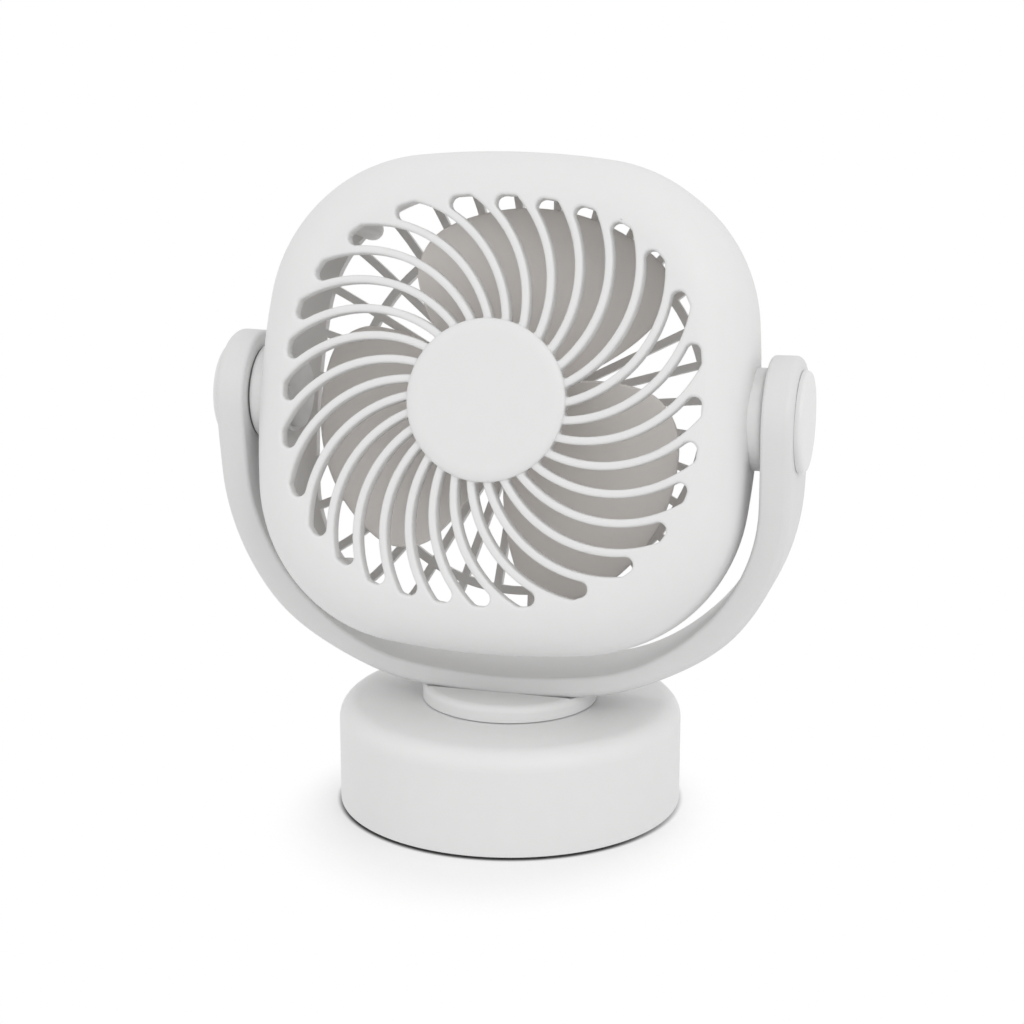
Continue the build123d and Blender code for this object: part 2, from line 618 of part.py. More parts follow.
def blade_sheet():
    """The twisted surface: it climbs round the axis, and faster towards the tip."""
    middle = (BLADE_ROOT_START + BLADE_ROOT_END) / 2
    root_slope = BLADE_ROOT_RISE / (BLADE_ROOT_END - BLADE_ROOT_START)
    tip_slope = BLADE_TIP_RISE / (BLADE_TIP_END - BLADE_TIP_START)
    start = HUB_RADIUS - HUB_WALL
    end = BLADE_TIP_RADIUS + 3
    rows = []
    for i in range(6):
        share = i / 5
        radius = start + (end - start) * share
        slope = root_slope + (tip_slope - root_slope) * share
        row = []
        for j in range(9):
            angle = BLADE_ROOT_START - 4 + (BLADE_ROOT_END - BLADE_ROOT_START + 8) * j / 8
            x, y = polar(radius, angle)
            row.append((x, y, BLADE_MIDDLE + slope * (angle - middle)))
        rows.append(row)
    return Face.make_surface_from_array_of_points(rows)


def impeller():
    hub = disc(HUB_RADIUS, HUB_BACK, HUB_FRONT)
    hub = fillet(end_edges(hub, True), HUB_ROUND)
    hub -= disc(HUB_RADIUS - HUB_WALL, HUB_BACK - 1, HUB_FRONT - HUB_WALL)
    hub += disc(HUB_BOSS_RADIUS, MOTOR_FRONT + MOTOR_BUSH_LENGTH, HUB_FRONT - HUB_WALL / 2)
    hub -= disc(SHAFT_RADIUS, HUB_BACK, HUB_FRONT - HUB_WALL)
    sheet = thicken(blade_sheet(), BLADE_THICKNESS / 2, both=True)
    prism = Pos(0, 0, -HEAD_BACK) * extrude(blade_outline(), HEAD_BACK + HEAD_FRONT)
    blade = sheet & prism
    blades = [Rot(0, 0, 360 * k / BLADE_COUNT) * blade for k in range(BLADE_COUNT)]
    return Rot(0, 0, IMPELLER_TURN) * (hub + blades)


# ---- yoke -------------------------------------------------------------------------
def tangent_point(radius, x, y):
    """Where a line from a point outside touches a circle round the origin, on +x."""
    distance = math.hypot(x, y)
    angle = math.atan2(y, x) + math.acos(radius / distance)
    return radius * math.cos(angle), radius * math.sin(angle)


def yoke_side():
    """The yoke seen along the pivot axis: round lobes that taper into the strap."""
    touch_x, touch_y = tangent_point(LOBE_RADIUS, YOKE_HALF_DEPTH, -LOBE_TAPER)
    bottom = -YOKE_DROP - 5
    strap = make_face(
        Polyline(
            (touch_x, touch_y),
            (YOKE_HALF_DEPTH, -LOBE_TAPER),
            (YOKE_HALF_DEPTH, bottom),
            (-YOKE_HALF_DEPTH, bottom),
            (-YOKE_HALF_DEPTH, -LOBE_TAPER),
            (-touch_x, touch_y),
            close=True,
        )
    )
    profile = strap + Circle(LOBE_RADIUS)
    across = Plane(origin=(-2 * YOKE_HALF_WIDTH, 0, 0), x_dir=(0, 0, -1), z_dir=(1, 0, 0))
    turned = extrude(profile, 4 * YOKE_HALF_WIDTH)
    return across.location * turned


def yoke():
    reach = 2 * LOBE_RADIUS
    band = YOKE_OUTLINE.face() - YOKE_OUTLINE.inset(YOKE_THICKNESS).face()
    top = Pos(0, YOKE_DROP + LOBE_RADIUS + 1, 0) * Rectangle(4 * YOKE_DROP, 2 * YOKE_DROP)
    band -= top
    strap = Pos(0, 0, -reach) * extrude(band, 2 * reach)
    strap &= yoke_side()
    strap = fillet(strap.edges(), YOKE_EDGE_ROUND)
    for side in (-1, 1):
        land = PIVOT_BOSS_RADIUS + RUNNING_FIT
        strap -= rod_x(land, side * (ARM_INNER - 1), side * ARM_INNER)
        bore = PIVOT_PIN_RADIUS + RUNNING_FIT
        strap -= rod_x(bore, side * (ARM_INNER - 1), side * (YOKE_HALF_WIDTH + 1))
        pocket_floor = YOKE_HALF_WIDTH - LOBE_POCKET_DEPTH
        strap -= rod_x(LOBE_POCKET_RADIUS, side * pocket_floor, side * (YOKE_HALF_WIDTH + 1))
    for side in (-1, 1):
        hole = Rot(90, 0, 0) * extrude(Circle(SCREW_RADIUS), YOKE_SCREW_BITE + 3)
        strap -= Pos(side * YOKE_SCREW_SPREAD, -YOKE_DROP + YOKE_SCREW_BITE, 0) * hole
    return strap


# ---- pivots, built for the right side and mirrored for the left -------------------
def pivot_boss():
    inner = BOSS_INNER
    boss = rod_x(PIVOT_BOSS_RADIUS, HEAD_HALF_WIDTH - 12, BOSS_FACE)
    boss -= head_front_block(0, HEAD_FRONT, FRONT_ROLL)
    boss -= head_back_block(0, HEAD_BACK, BACK_ROLL)
    boss += rod_x(PIVOT_NECK_RADIUS, inner, BOSS_FACE)
    boss += rod_x(PIVOT_FLANGE_RADIUS, inner - PIVOT_FLANGE_THICKNESS, inner)
    boss += rod_x(PIVOT_PIN_RADIUS, BOSS_FACE - 1, YOKE_HALF_WIDTH - LOBE_POCKET_DEPTH + FACE_GAP)
    return boss - rod_x(PIVOT_SCREW_RADIUS, inner, YOKE_HALF_WIDTH)


def friction_washer():
    start = BOSS_FACE + FACE_GAP
    washer = rod_x(PIVOT_BOSS_RADIUS - 1.0, start, start + WASHER_THICKNESS)
    return washer - rod_x(PIVOT_PIN_RADIUS + RUNNING_FIT, BOSS_FACE, ARM_INNER)


def pivot_washer():
    start = YOKE_HALF_WIDTH - LOBE_POCKET_DEPTH + FACE_GAP
    washer = rod_x(PIVOT_WASHER_RADIUS, start, start + PIVOT_WASHER_THICKNESS)
    return washer - rod_x(PIVOT_SCREW_RADIUS, start - 1, start + 2)


def pivot_screw():
    seat = YOKE_HALF_WIDTH - LOBE_POCKET_DEPTH + FACE_GAP + PIVOT_WASHER_THICKNESS
    one = screw(PIVOT_SCREW_RADIUS, PIVOT_SCREW_LENGTH, PIVOT_SCREW_HEAD_RADIUS, PIVOT_SCREW_HEAD)
    return Pos(seat, 0, 0) * Rot(0, 90, 0) * one


def pivot_cap():
    """The round lid on the outside of an arm; its rim hides the screw's pocket."""
    floor = YOKE_HALF_WIDTH + FACE_GAP
    cap = disc(CAP_RADIUS, floor, YOKE_HALF_WIDTH + CAP_PROUD)
    cap = fillet(end_edges(cap, True), CAP_ROUND)
    cap += ring(LOBE_POCKET_RADIUS - SEAT_FIT, LOBE_POCKET_RADIUS - 1.1, floor - 1.0, floor)
    return Rot(0, 90, 0) * cap


def both_sides(build, frame):
    right = build()
    left = mirror(right, about=Plane.YZ)
    return frame * left, frame * right


# ---- swivel -----------------------------------------------------------------------
def swivel_collar():
    """A round seat with a groove across it for the strap, and a hollow stem below."""
    bed_half_depth = YOKE_HALF_DEPTH + SEAT_FIT
    strap_bed = YOKE_FRAME * Pos(0, 0, -bed_half_depth) * extrude(
        YOKE_OUTLINE.face(), 2 * bed_half_depth
    )
    collar = disc(COLLAR_RADIUS, COLLAR_BOTTOM, COLLAR_TOP)
    collar = fillet(end_edges(collar, True), COLLAR_ROUND) - strap_bed
    collar += disc(SWIVEL_TUBE_RADIUS, DRUM_TOP - SWIVEL_TUBE_DROP, COLLAR_BOTTOM + 1)
    collar -= disc(SWIVEL_TUBE_BORE, DRUM_TOP - SWIVEL_TUBE_DROP - 1, STRAP_BOTTOM - 1)
    for side in (-1, 1):
        place = Pos(side * YOKE_SCREW_SPREAD, 0, 0)
        collar -= place * disc(SCREW_RADIUS, COLLAR_BOTTOM - 1, COLLAR_TOP + 5)
        collar -= place * disc(
            SCREW_HEAD_RADIUS + SEAT_FIT, COLLAR_BOTTOM - 1, COLLAR_BOTTOM + SCREW_HEAD_HEIGHT
        )
    return collar


def yoke_screws():
    length = STRAP_BOTTOM - COLLAR_BOTTOM - SCREW_HEAD_HEIGHT + YOKE_SCREW_BITE - 0.5
    one = Rot(180, 0, 0) * screw(SCREW_RADIUS, length, SCREW_HEAD_RADIUS, SCREW_HEAD_HEIGHT)
    height = COLLAR_BOTTOM + SCREW_HEAD_HEIGHT
    return [Pos(side * YOKE_SCREW_SPREAD, 0, height) * one for side in (-1, 1)]


def swivel_bush():
    bore = SWIVEL_TUBE_RADIUS + RUNNING_FIT
    bush = ring(bore + BUSH_WALL, bore, BUSH_BOTTOM, DRUM_TOP)
    return bush + ring(BUSH_FLANGE_RADIUS, bore, DRUM_TOP, BUSH_TOP)


def swivel_washer():
    top = BUSH_BOTTOM - FACE_GAP
    bore = SWIVEL_TUBE_RADIUS
    return ring(SWIVEL_WASHER_RADIUS, bore, top - SWIVEL_WASHER_THICKNESS, top)


def swivel_nut():
    top = BUSH_BOTTOM - FACE_GAP - SWIVEL_WASHER_THICKNESS
    nut = Pos(0, 0, top - SWIVEL_NUT_HEIGHT) * extrude(
        RegularPolygon(SWIVEL_NUT_RADIUS, 6), SWIVEL_NUT_HEIGHT
    )
    return nut - disc(SWIVEL_TUBE_RADIUS, top - SWIVEL_NUT_HEIGHT - 1, top + 1)


# ---- base drum --------------------------------------------------------------------
def drum_post_places():
    return [(sx * DRUM_POST_X, sy * DRUM_POST_Y) for sx in (-1, 1) for sy in (-1, 1)]


def rounded_slot(width, height, grow):
    return RectangleRounded(width + 2 * grow, height + 2 * grow, height / 2 + grow - 0.01)


def base_housing():
    drum = disc(DRUM_RADIUS, DRUM_FOOT, DRUM_TOP)
    drum = fillet(end_edges(drum, True), DRUM_ROUND)
    drum = fillet(end_edges(drum, False), 0.4)
    inside = disc(DRUM_INNER, DRUM_FOOT - 1, DRUM_CEILING)
    drum -= fillet(end_edges(inside, True), DRUM_ROUND - DRUM_WALL)
    bush = SWIVEL_TUBE_RADIUS + RUNNING_FIT + BUSH_WALL
    drum += ring(bush + 2.4, bush, BUSH_BOTTOM + 0.1, DRUM_CEILING + 0.5)
    drum -= disc(bush, DRUM_FOOT, DRUM_TOP + 1)
    for place in drum_post_places():
        drum += Pos(*place) * disc(DRUM_POST_RADIUS, PLATE_TOP, DRUM_CEILING + 0.5)
        drum -= Pos(*place) * disc(SCREW_RADIUS, PLATE_TOP - 1, PLATE_TOP + DRUM_SCREW_LENGTH)
    for side in (-1, 1):
        post = extrude(Circle(BOARD_POST_RADIUS), DRUM_INNER - BOARD_OUTER_FACE)
        place = Pos(side * BOARD_POST_SPREAD, BOARD_POST_HEIGHT, BOARD_OUTER_FACE)
        round_wall = disc(DRUM_RADIUS - DRUM_WALL / 2, DRUM_FOOT, DRUM_TOP)
        drum += (BACK_FRAME * place * post) & round_wall
        hole = extrude(Circle(BOARD_SCREW_RADIUS), BOARD_SCREW_BITE + 0.5)
        drum -= BACK_FRAME * place * hole
    through = DRUM_RADIUS - BOARD_OUTER_FACE
    back = Pos(0, 0, BOARD_OUTER_FACE + 2)
    button_hole = Pos(0, BUTTON_HEIGHT, 0) * Circle(BUTTON_RADIUS + SLIDING_FIT)
    lamp_hole = Pos(LAMP_OFFSET, BUTTON_HEIGHT, 0) * Circle(LAMP_RADIUS + SEAT_FIT)
    socket_hole = Pos(0, SOCKET_HEIGHT, 0) * rounded_slot(SOCKET_WIDTH, SOCKET_THICKNESS, 0.3)
    for hole in (button_hole, lamp_hole, socket_hole):
        drum -= BACK_FRAME * back * extrude(hole, through)
    return drum


def cell_middle():
    return PLATE_TOP + CELL_LIFT + CELL_RADIUS


def battery_cell(side):
    cell = rod_x(CELL_RADIUS, -CELL_LENGTH / 2, CELL_LENGTH / 2)
    cell = fillet(cell.edges().filter_by(GeomType.CIRCLE), 0.8)
    cell += rod_x(2.8, CELL_LENGTH / 2, CELL_LENGTH / 2 + 0.8)
    return Pos(0, side * CELL_SPREAD, cell_middle()) * cell


def base_plate():
    plate = disc(DRUM_INNER - SEAT_FIT, PLATE_BOTTOM, PLATE_TOP)
    groove_depth = FOOT_RING_THICKNESS - PLATE_BOTTOM
    plate -= ring(
        FOOT_RING_OUTER + SEAT_FIT,
        FOOT_RING_INNER - SEAT_FIT,
        PLATE_BOTTOM - 1,
        PLATE_BOTTOM + groove_depth,
    )
    for side in (-1, 1):
        for end in (-1, 1):
            wall = Pos(end * CRADLE_SPREAD, side * CELL_SPREAD, PLATE_TOP + CRADLE_HEIGHT / 2)
            plate += wall * Box(CRADLE_THICKNESS, 2 * CELL_RADIUS, CRADLE_HEIGHT)
        bed = rod_x(CELL_RADIUS + SEAT_FIT, -CELL_LENGTH / 2, CELL_LENGTH / 2)
        plate -= Pos(0, side * CELL_SPREAD, cell_middle()) * bed
    for place in drum_post_places():
        plate -= Pos(*place) * disc(SCREW_RADIUS + SLIDING_FIT, PLATE_BOTTOM - 1, PLATE_TOP + 1)
        plate -= Pos(*place) * disc(
            SCREW_HEAD_RADIUS + SLIDING_FIT, PLATE_BOTTOM - 1, PLATE_BOTTOM + 1.2
        )
    return plate


def base_screws():
    length = DRUM_SCREW_LENGTH + PLATE_THICKNESS - 1.2 - 0.5
    one = Rot(180, 0, 0) * screw(SCREW_RADIUS, length, SCREW_HEAD_RADIUS, 1.1)
    return [Pos(*place, PLATE_BOTTOM + 1.2) * one for place in drum_post_places()]


def foot_ring():
    foot = ring(FOOT_RING_OUTER, FOOT_RING_INNER, 0, FOOT_RING_THICKNESS)
    return fillet(foot.faces().sort_by(Axis.Z)[0].edges(), 0.4)


# ---- what sits in the back of the drum --------------------------------------------
def circuit_board():
    board = Rectangle(BOARD_WIDTH, BOARD_HEIGHT)
    for side in (-1, 1):
        height = BOARD_POST_HEIGHT - BOARD_BOTTOM - BOARD_HEIGHT / 2
        board -= Pos(side * BOARD_POST_SPREAD, height) * Circle(SCREW_RADIUS)
    place = Pos(0, BOARD_BOTTOM + BOARD_HEIGHT / 2, BOARD_OUTER_FACE - BOARD_THICKNESS)
    return BACK_FRAME * place * extrude(board, BOARD_THICKNESS)


def board_screws():
    one = Rot(180, 0, 0) * screw(
        BOARD_SCREW_RADIUS, BOARD_THICKNESS + BOARD_SCREW_BITE, 2 * BOARD_SCREW_RADIUS, 1.2
    )
    height = BOARD_OUTER_FACE - BOARD_THICKNESS
    return [
        BACK_FRAME * Pos(side * BOARD_POST_SPREAD, BOARD_POST_HEIGHT, height) * one
        for side in (-1, 1)
    ]


def push_switch():
    body = extrude(Rectangle(SWITCH_SIZE, SWITCH_SIZE), SWITCH_BODY)
    body += disc(SWITCH_PLUNGER_RADIUS, SWITCH_BODY, SWITCH_BODY + SWITCH_PLUNGER)
    return BACK_FRAME * Pos(0, BUTTON_HEIGHT, BOARD_OUTER_FACE) * body


def power_button():
    start = BOARD_OUTER_FACE + SWITCH_BODY + SWITCH_PLUNGER + BUTTON_TRAVEL + FACE_GAP
    flange_top = math.sqrt(DRUM_INNER**2 - BUTTON_FLANGE_RADIUS**2) - FACE_GAP
    button = disc(BUTTON_RADIUS, flange_top - BUTTON_FLANGE_THICKNESS, DRUM_RADIUS + BUTTON_PROUD)
    button = fillet(end_edges(button, True), 0.5)
    button += disc(BUTTON_FLANGE_RADIUS, flange_top - BUTTON_FLANGE_THICKNESS, flange_top)
    button += disc(SWITCH_PLUNGER_RADIUS, start, flange_top)
    return BACK_FRAME * Pos(0, BUTTON_HEIGHT, 0) * button


def charging_socket():
    mouth = DRUM_RADIUS - SOCKET_INSET
    depth = mouth - BOARD_OUTER_FACE
    shell = extrude(rounded_slot(SOCKET_WIDTH, SOCKET_THICKNESS, 0), depth)
    hollow = extrude(rounded_slot(SOCKET_WIDTH, SOCKET_THICKNESS, -SOCKET_WALL), depth)
    shell -= Pos(0, 0, 1.5) * hollow
    tongue = extrude(Rectangle(SOCKET_WIDTH * 0.7, SOCKET_TONGUE), depth - 1.0)
    return BACK_FRAME * Pos(0, SOCKET_HEIGHT, BOARD_OUTER_FACE) * (shell + tongue)


def lamp_lens():
    reach = math.sqrt(DRUM_RADIUS**2 - LAMP_OFFSET**2) + 0.2
    lens = disc(LAMP_RADIUS, BOARD_OUTER_FACE + FACE_GAP, reach)
    return BACK_FRAME * Pos(LAMP_OFFSET, BUTTON_HEIGHT, 0) * lens


# ---- the whole fan ----------------------------------------------------------------
def head_nodes():
    nodes = {
        "front_shell": front_shell(),
        "hub_cap": hub_cap(),
        "rear_shell": rear_shell(),
        "shell_screws": shell_screws(),
        "motor_can": motor_can(),
        "motor_end_cap": motor_end_cap(),
        "motor_front_bush": motor_bush(MOTOR_FRONT - MOTOR_BUSH_LENGTH / 2),
        "motor_rear_bush": motor_bush(REAR_FLOOR + 0.8),
        "motor_magnets": motor_magnets(),
        "motor_screws": motor_screws(),
        "motor_armature": motor_armature(),
        "motor_shaft": motor_shaft(),
        "impeller": impeller(),
    }
    return {name: place(HEAD_FRAME, shape) for name, shape in nodes.items()}


def pivot_nodes():
    nodes = {}
    builders = {
        "pivot_boss": (pivot_boss, HEAD_FRAME),
        "friction_washer": (friction_washer, YOKE_FRAME),
        "pivot_washer": (pivot_washer, HEAD_FRAME),
        "pivot_screw": (pivot_screw, HEAD_FRAME),
        "pivot_cap": (pivot_cap, YOKE_FRAME),
    }
    for name, (build, frame) in builders.items():
        nodes["left_" + name], nodes["right_" + name] = both_sides(build, frame)
    return nodes


def base_nodes():
    return {
        "base_housing": base_housing(),
        "base_plate": base_plate(),
        "foot_ring": foot_ring(),
        "base_screws": base_screws(),
        "front_battery_cell": battery_cell(-1),
        "rear_battery_cell": battery_cell(1),
        "circuit_board": circuit_board(),
        "board_screws": board_screws(),
        "push_switch": push_switch(),
        "power_button": power_button(),
        "charging_socket": charging_socket(),
        "lamp_lens": lamp_lens(),
        "swivel_bush": swivel_bush(),
    }


def yoke_nodes():
    return {
        "yoke": YOKE_FRAME * yoke(),
        "swivel_collar": swivel_collar(),
        "yoke_screws": yoke_screws(),
        "swivel_washer": swivel_washer(),
        "swivel_nut": swivel_nut(),
    }


def place(frame, shape):
    """Moves one solid, or each of a list of them."""
    if isinstance(shape, list):
        return [frame * item for item in shape]
    return frame * shape


def solids_of(shape):
    """One solid as it is, or a list of them as a compound."""
    if isinstance(shape, list):
        return Compound([solid for item in shape for solid in item.solids()])
    found = shape.solids()
    return found[0] if len(found) == 1 else Compound(found)


os.makedirs("parts", exist_ok=True)
for group in (head_nodes(), pivot_nodes(), base_nodes(), yoke_nodes()):
    for node, shape in group.items():
        export_step(solids_of(shape), os.path.join("parts", node + ".step"))
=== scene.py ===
# %% [markdown]
# # A rechargeable table fan, dressed for its photograph
#
# The fan was first built in CAD, one solid for each real piece, and packed with its joints.
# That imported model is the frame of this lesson: every CAD solid already stands in its true
# place, in metres. Blender adds what the solids lack, which is soft moulded form on the
# pieces that catch the light, and a finish on every piece, seen or unseen.
#
# The fan stands at the origin, +Z is up and it blows towards -Y.

import json
import math

import bmesh
import bpy
from mathutils import Matrix, Vector


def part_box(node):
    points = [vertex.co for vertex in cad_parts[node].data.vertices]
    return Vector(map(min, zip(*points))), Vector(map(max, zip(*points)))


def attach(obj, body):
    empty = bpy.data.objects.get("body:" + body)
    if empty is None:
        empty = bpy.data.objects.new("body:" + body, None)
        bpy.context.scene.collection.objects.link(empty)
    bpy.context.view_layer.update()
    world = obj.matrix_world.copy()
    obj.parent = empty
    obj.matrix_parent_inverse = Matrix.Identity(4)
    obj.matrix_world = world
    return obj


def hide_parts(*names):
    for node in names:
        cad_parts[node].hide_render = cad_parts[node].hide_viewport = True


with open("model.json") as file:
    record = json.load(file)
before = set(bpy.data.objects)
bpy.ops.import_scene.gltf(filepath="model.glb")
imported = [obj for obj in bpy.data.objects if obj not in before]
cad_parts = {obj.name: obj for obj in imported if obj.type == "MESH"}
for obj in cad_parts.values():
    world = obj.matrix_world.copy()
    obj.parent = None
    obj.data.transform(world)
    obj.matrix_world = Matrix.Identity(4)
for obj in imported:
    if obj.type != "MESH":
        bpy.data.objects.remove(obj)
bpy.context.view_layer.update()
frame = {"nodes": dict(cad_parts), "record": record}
nodes = frame["nodes"]
MM = 0.001
scene = bpy.context.scene
scene.view_settings.view_transform = "Standard"

# %% [markdown]
# ## The camera
#
# The photograph was taken from a little to the right of the fan and a little above it. A
# camera can be placed by an angle round the object, an angle above the floor, a distance
# and a lens, and the four were found by laying the head's outline and the drum's rim over
# the picture. The distance matters as much as the angles: it sets how fast the drum and
# the head seem to shrink with depth. The lens then only sets the size in the frame.

# %% Camera
VIEW_AZIMUTH = math.radians(15.45)  # from straight in front, towards +X
VIEW_ELEVATION = math.radians(14.55)
VIEW_DISTANCE = 700 * MM
VIEW_LENS = 79.84                   # in the camera's own millimetres, like the sensor
SENSOR_WIDTH = 36
CLIP_RANGE = (0.02, 20)             # metres
LOOK_RIGHT = 0.56 * MM              # the aim, along the picture's own right
LOOK_HEIGHT = 92.4 * MM             # and above the floor


def aim_camera():
    """A camera that looks at the fan along the photograph's line of sight."""
    up = Vector((0, 0, 1))
    right = Vector((math.cos(VIEW_AZIMUTH), math.sin(VIEW_AZIMUTH), 0))
    back = right.cross(up) * math.cos(VIEW_ELEVATION) + up * math.sin(VIEW_ELEVATION)
    place = right * LOOK_RIGHT + up * LOOK_HEIGHT + back * VIEW_DISTANCE
    turn = Matrix((right, back.cross(right), back)).transposed()
    data = bpy.data.cameras.new("photo_camera")
    data.lens = VIEW_LENS
    data.sensor_width = SENSOR_WIDTH
    data.clip_start, data.clip_end = CLIP_RANGE
    camera = bpy.data.objects.new("photo_camera", data)
    scene.collection.objects.link(camera)
    camera.matrix_world = Matrix.Translation(place) @ turn.to_4x4()
    return camera


scene.camera = aim_camera()
print("camera at", [round(v, 3) for v in scene.camera.matrix_world.translation])

# %% [markdown]
# ## Shader maths as plain Python
#
# A procedural finish is mostly arithmetic on noise. Wiring Math nodes by hand hides that
# arithmetic, so a small class stands for one output socket and gives it Python's operators:
# `0.4 + 0.2 * grain` then adds its own Math nodes. Any other node comes from one method,
# which sets the node's settings first and then the values or links of its sockets. The
# surroundings have a shader tree too, so the same class can build a world.

# %% A socket that understands +, - and *
class Wire:
    """One output of a shader tree, which Python's operators work on."""

    def __init__(self, finish, socket):
        self.finish = finish
        self.socket = socket

    def _math(self, operation, first, second):
        return self.finish.node("Math", {"operation": operation}, {0: first, 1: second})

    def __add__(self, other):
        return self._math("ADD", self, other)

    def __radd__(self, other):
        return self._math("ADD", other, self)

    def __sub__(self, other):
        return self._math("SUBTRACT", self, other)

    def __rsub__(self, other):
        return self._math("SUBTRACT", other, self)

    def __mul__(self, other):
        return self._math("MULTIPLY", self, other)

    def __rmul__(self, other):
        return self._math("MULTIPLY", other, self)


print("a wire understands +, - and * on both of its sides")

# %% A finish and its nodes
class Finish:
    """A material or a world under construction: its tree, and the one method that adds nodes."""

    def __init__(self, name, world=False):
        self.owner = (bpy.data.worlds if world else bpy.data.materials).new(name)
        self.owner.use_nodes = True
        self.tree = self.owner.node_tree
        self.tree.nodes.clear()
        self.last_node = "OutputWorld" if world else "OutputMaterial"

    def node(self, kind, settings=None, sockets=None, output=0):
        """Adds a node: its settings come first, then the values or links of its sockets."""
        made = self.tree.nodes.new("ShaderNode" + kind)
        for key, value in (settings or {}).items():
            setattr(made, key, value)
        for key, value in (sockets or {}).items():
            if isinstance(value, Wire):
                self.tree.links.new(value.socket, made.inputs[key])
            else:
                made.inputs[key].default_value = value
        return Wire(self, made.outputs[output])

    def surface(self, shader):
        """Ends the tree with this shader and returns the material or the world."""
        output = self.tree.nodes.new("ShaderNode" + self.last_node)
        self.tree.links.new(shader.socket, output.inputs["Surface"])
        return self.owner


print("a finish starts with an empty tree")

# %% [markdown]
# ## What moulded plastic looks like close up
#
# The fan's shells are satin ABS. The mould's polished steel was lightly blasted, so the
# skin has a grain of a few tenths of a millimetre, too fine to see as bumps but enough to
# spread each highlight. On top of it come two slow changes: the plastic flowed into the
# mould, so its sheen drifts over centimetres, and its tint is never perfectly even.
#
# All noise reads Object coordinates, which are metres on the piece itself. The grain then
# has its real size on every piece and rides with it when a joint moves.

# %% Colours and noise
def tint(colour, factor=1.0):
    """A colour made lighter or darker, with the alpha that a socket wants."""
    return tuple(channel * factor for channel in colour) + (1.0,)


def noise(finish, size_mm, detail=2.0, roughness=0.5):
    """Soft noise between 0 and 1 whose lumps are about size_mm across."""
    place = finish.node("TexCoord", output="Object")
    scale = 1 / (size_mm * MM)
    return finish.node(
        "TexNoise",
        None,
        {"Vector": place, "Scale": scale, "Detail": detail, "Roughness": roughness},
    )


def blend_colours(finish, factor, first, second):
    """Between two colours, through a Mix node, since a Math node would turn them grey."""
    return finish.node(
        "Mix", {"data_type": "RGBA"}, {"Factor": factor, 6: first, 7: second}, output=2
    )


print("a darker grey:", tint((0.5, 0.5, 0.5), 0.8))

# %% Satin moulded plastic
FLOW_MM, CLOUD_MM = 21, 6           # size of the drift in the sheen, and in the tint


def moulded(name, colour, sheen, drift=0.05, grain_mm=0.32, grain_depth=0.006, uneven=0.012):
    """Satin moulded plastic: even colour, blasted grain, sheen that drifts slowly."""
    finish = Finish(name)
    flow = noise(finish, FLOW_MM)
    cloud = noise(finish, CLOUD_MM, 3.0)
    grain = noise(finish, grain_mm, 1.0)
    base = blend_colours(finish, cloud, tint(colour, 1 - uneven), tint(colour, 1 + uneven))
    bump = finish.node(
        "Bump", None, {"Strength": 0.55, "Distance": grain_depth * MM, "Height": grain}
    )
    shader = finish.node(
        "BsdfPrincipled",
        None,
        {
            "Base Color": base,
            "Roughness": sheen + drift * (flow - 0.5) + 0.04 * (grain - 0.5),
            "Normal": bump,
            "IOR": 1.5,
        },
    )
    return finish.surface(shader)


WHITE = (0.788, 0.788, 0.785)
# painted shade: the yoke's white is darker than the shells' because its arms turn away from the light
# and its strap lies under the head
YOKE_SHADED_WHITE = (0.725, 0.725, 0.723)  # the yoke is a shade greyer than the shells
REAR_WHITE = (0.788, 0.776, 0.764)  # and the rear shell a little warmer
white_shell = moulded("white_shell", WHITE, 0.46)
white_yoke_painted_shade = moulded("white_yoke_painted_shade", YOKE_SHADED_WHITE, 0.44)
white_rear = moulded("white_rear", REAR_WHITE, 0.5)
white_smooth = moulded("white_smooth", WHITE, 0.36, grain_mm=0.5, grain_depth=0.003)
impeller_plastic = moulded("impeller_plastic", (0.84, 0.80, 0.768), 0.42)
inner_plastic = moulded("inner_plastic", (0.78, 0.78, 0.76), 0.34, grain_mm=0.6)
black_plastic = moulded("black_plastic", (0.035, 0.035, 0.036), 0.4)
print("nodes in the shells' finish:", len(white_shell.node_tree.nodes))

# %% [markdown]
# ## The other finishes
#
# Most of these are never seen unless the fan is taken apart, but a solid without a finish
# would be a hole in the lesson. Each one gets the one or two marks that name it: rubber is
# dull and finely pitted, plated steel has streaks where it was brushed, sintered brass is
# speckled, ferrite is chalky, a circuit board has a woven ground under its green resist.

# %% Pitted finishes
def pitted(name, colour, sheen, size_mm, depth, metal=0.0, spread=0.12):
    """A dull surface with fine pits: rubber, ferrite, fibre, sintered metal."""
    finish = Finish(name)
    pits = noise(finish, size_mm, 3.0, 0.6)
    base = blend_colours(finish, pits, tint(colour, 1 - spread), tint(colour, 1 + spread))
    bump = finish.node("Bump", None, {"Strength": 0.6, "Distance": depth * MM, "Height": pits})
    shader = finish.node(
        "BsdfPrincipled",
        None,
        {
            "Base Color": base,
            "Roughness": sheen + 0.15 * (pits - 0.5),
            "Metallic": metal,
            "Normal": bump,
        },
    )
    return finish.surface(shader)


foot_rubber = pitted("foot_rubber", (0.045, 0.045, 0.047), 0.82, 0.4, 0.02)
washer_fibre = pitted("washer_fibre", (0.16, 0.155, 0.15), 0.85, 0.5, 0.02)
ferrite = pitted("ferrite", (0.09, 0.09, 0.1), 0.7, 0.5, 0.01)
bush_brass = pitted("bush_brass", (0.62, 0.45, 0.2), 0.38, 0.25, 0.006, metal=1.0)
winding = pitted("winding", (0.6, 0.28, 0.12), 0.4, 0.6, 0.05, metal=0.8, spread=0.3)
print("pitted finishes have", len(ferrite.node_tree.nodes), "nodes each")

# %% Brushed steel
STREAK_MM = 0.25
STREAK_SHAPE = (1.0, 1.0, 0.08)     # the noise is squeezed less along the streaks


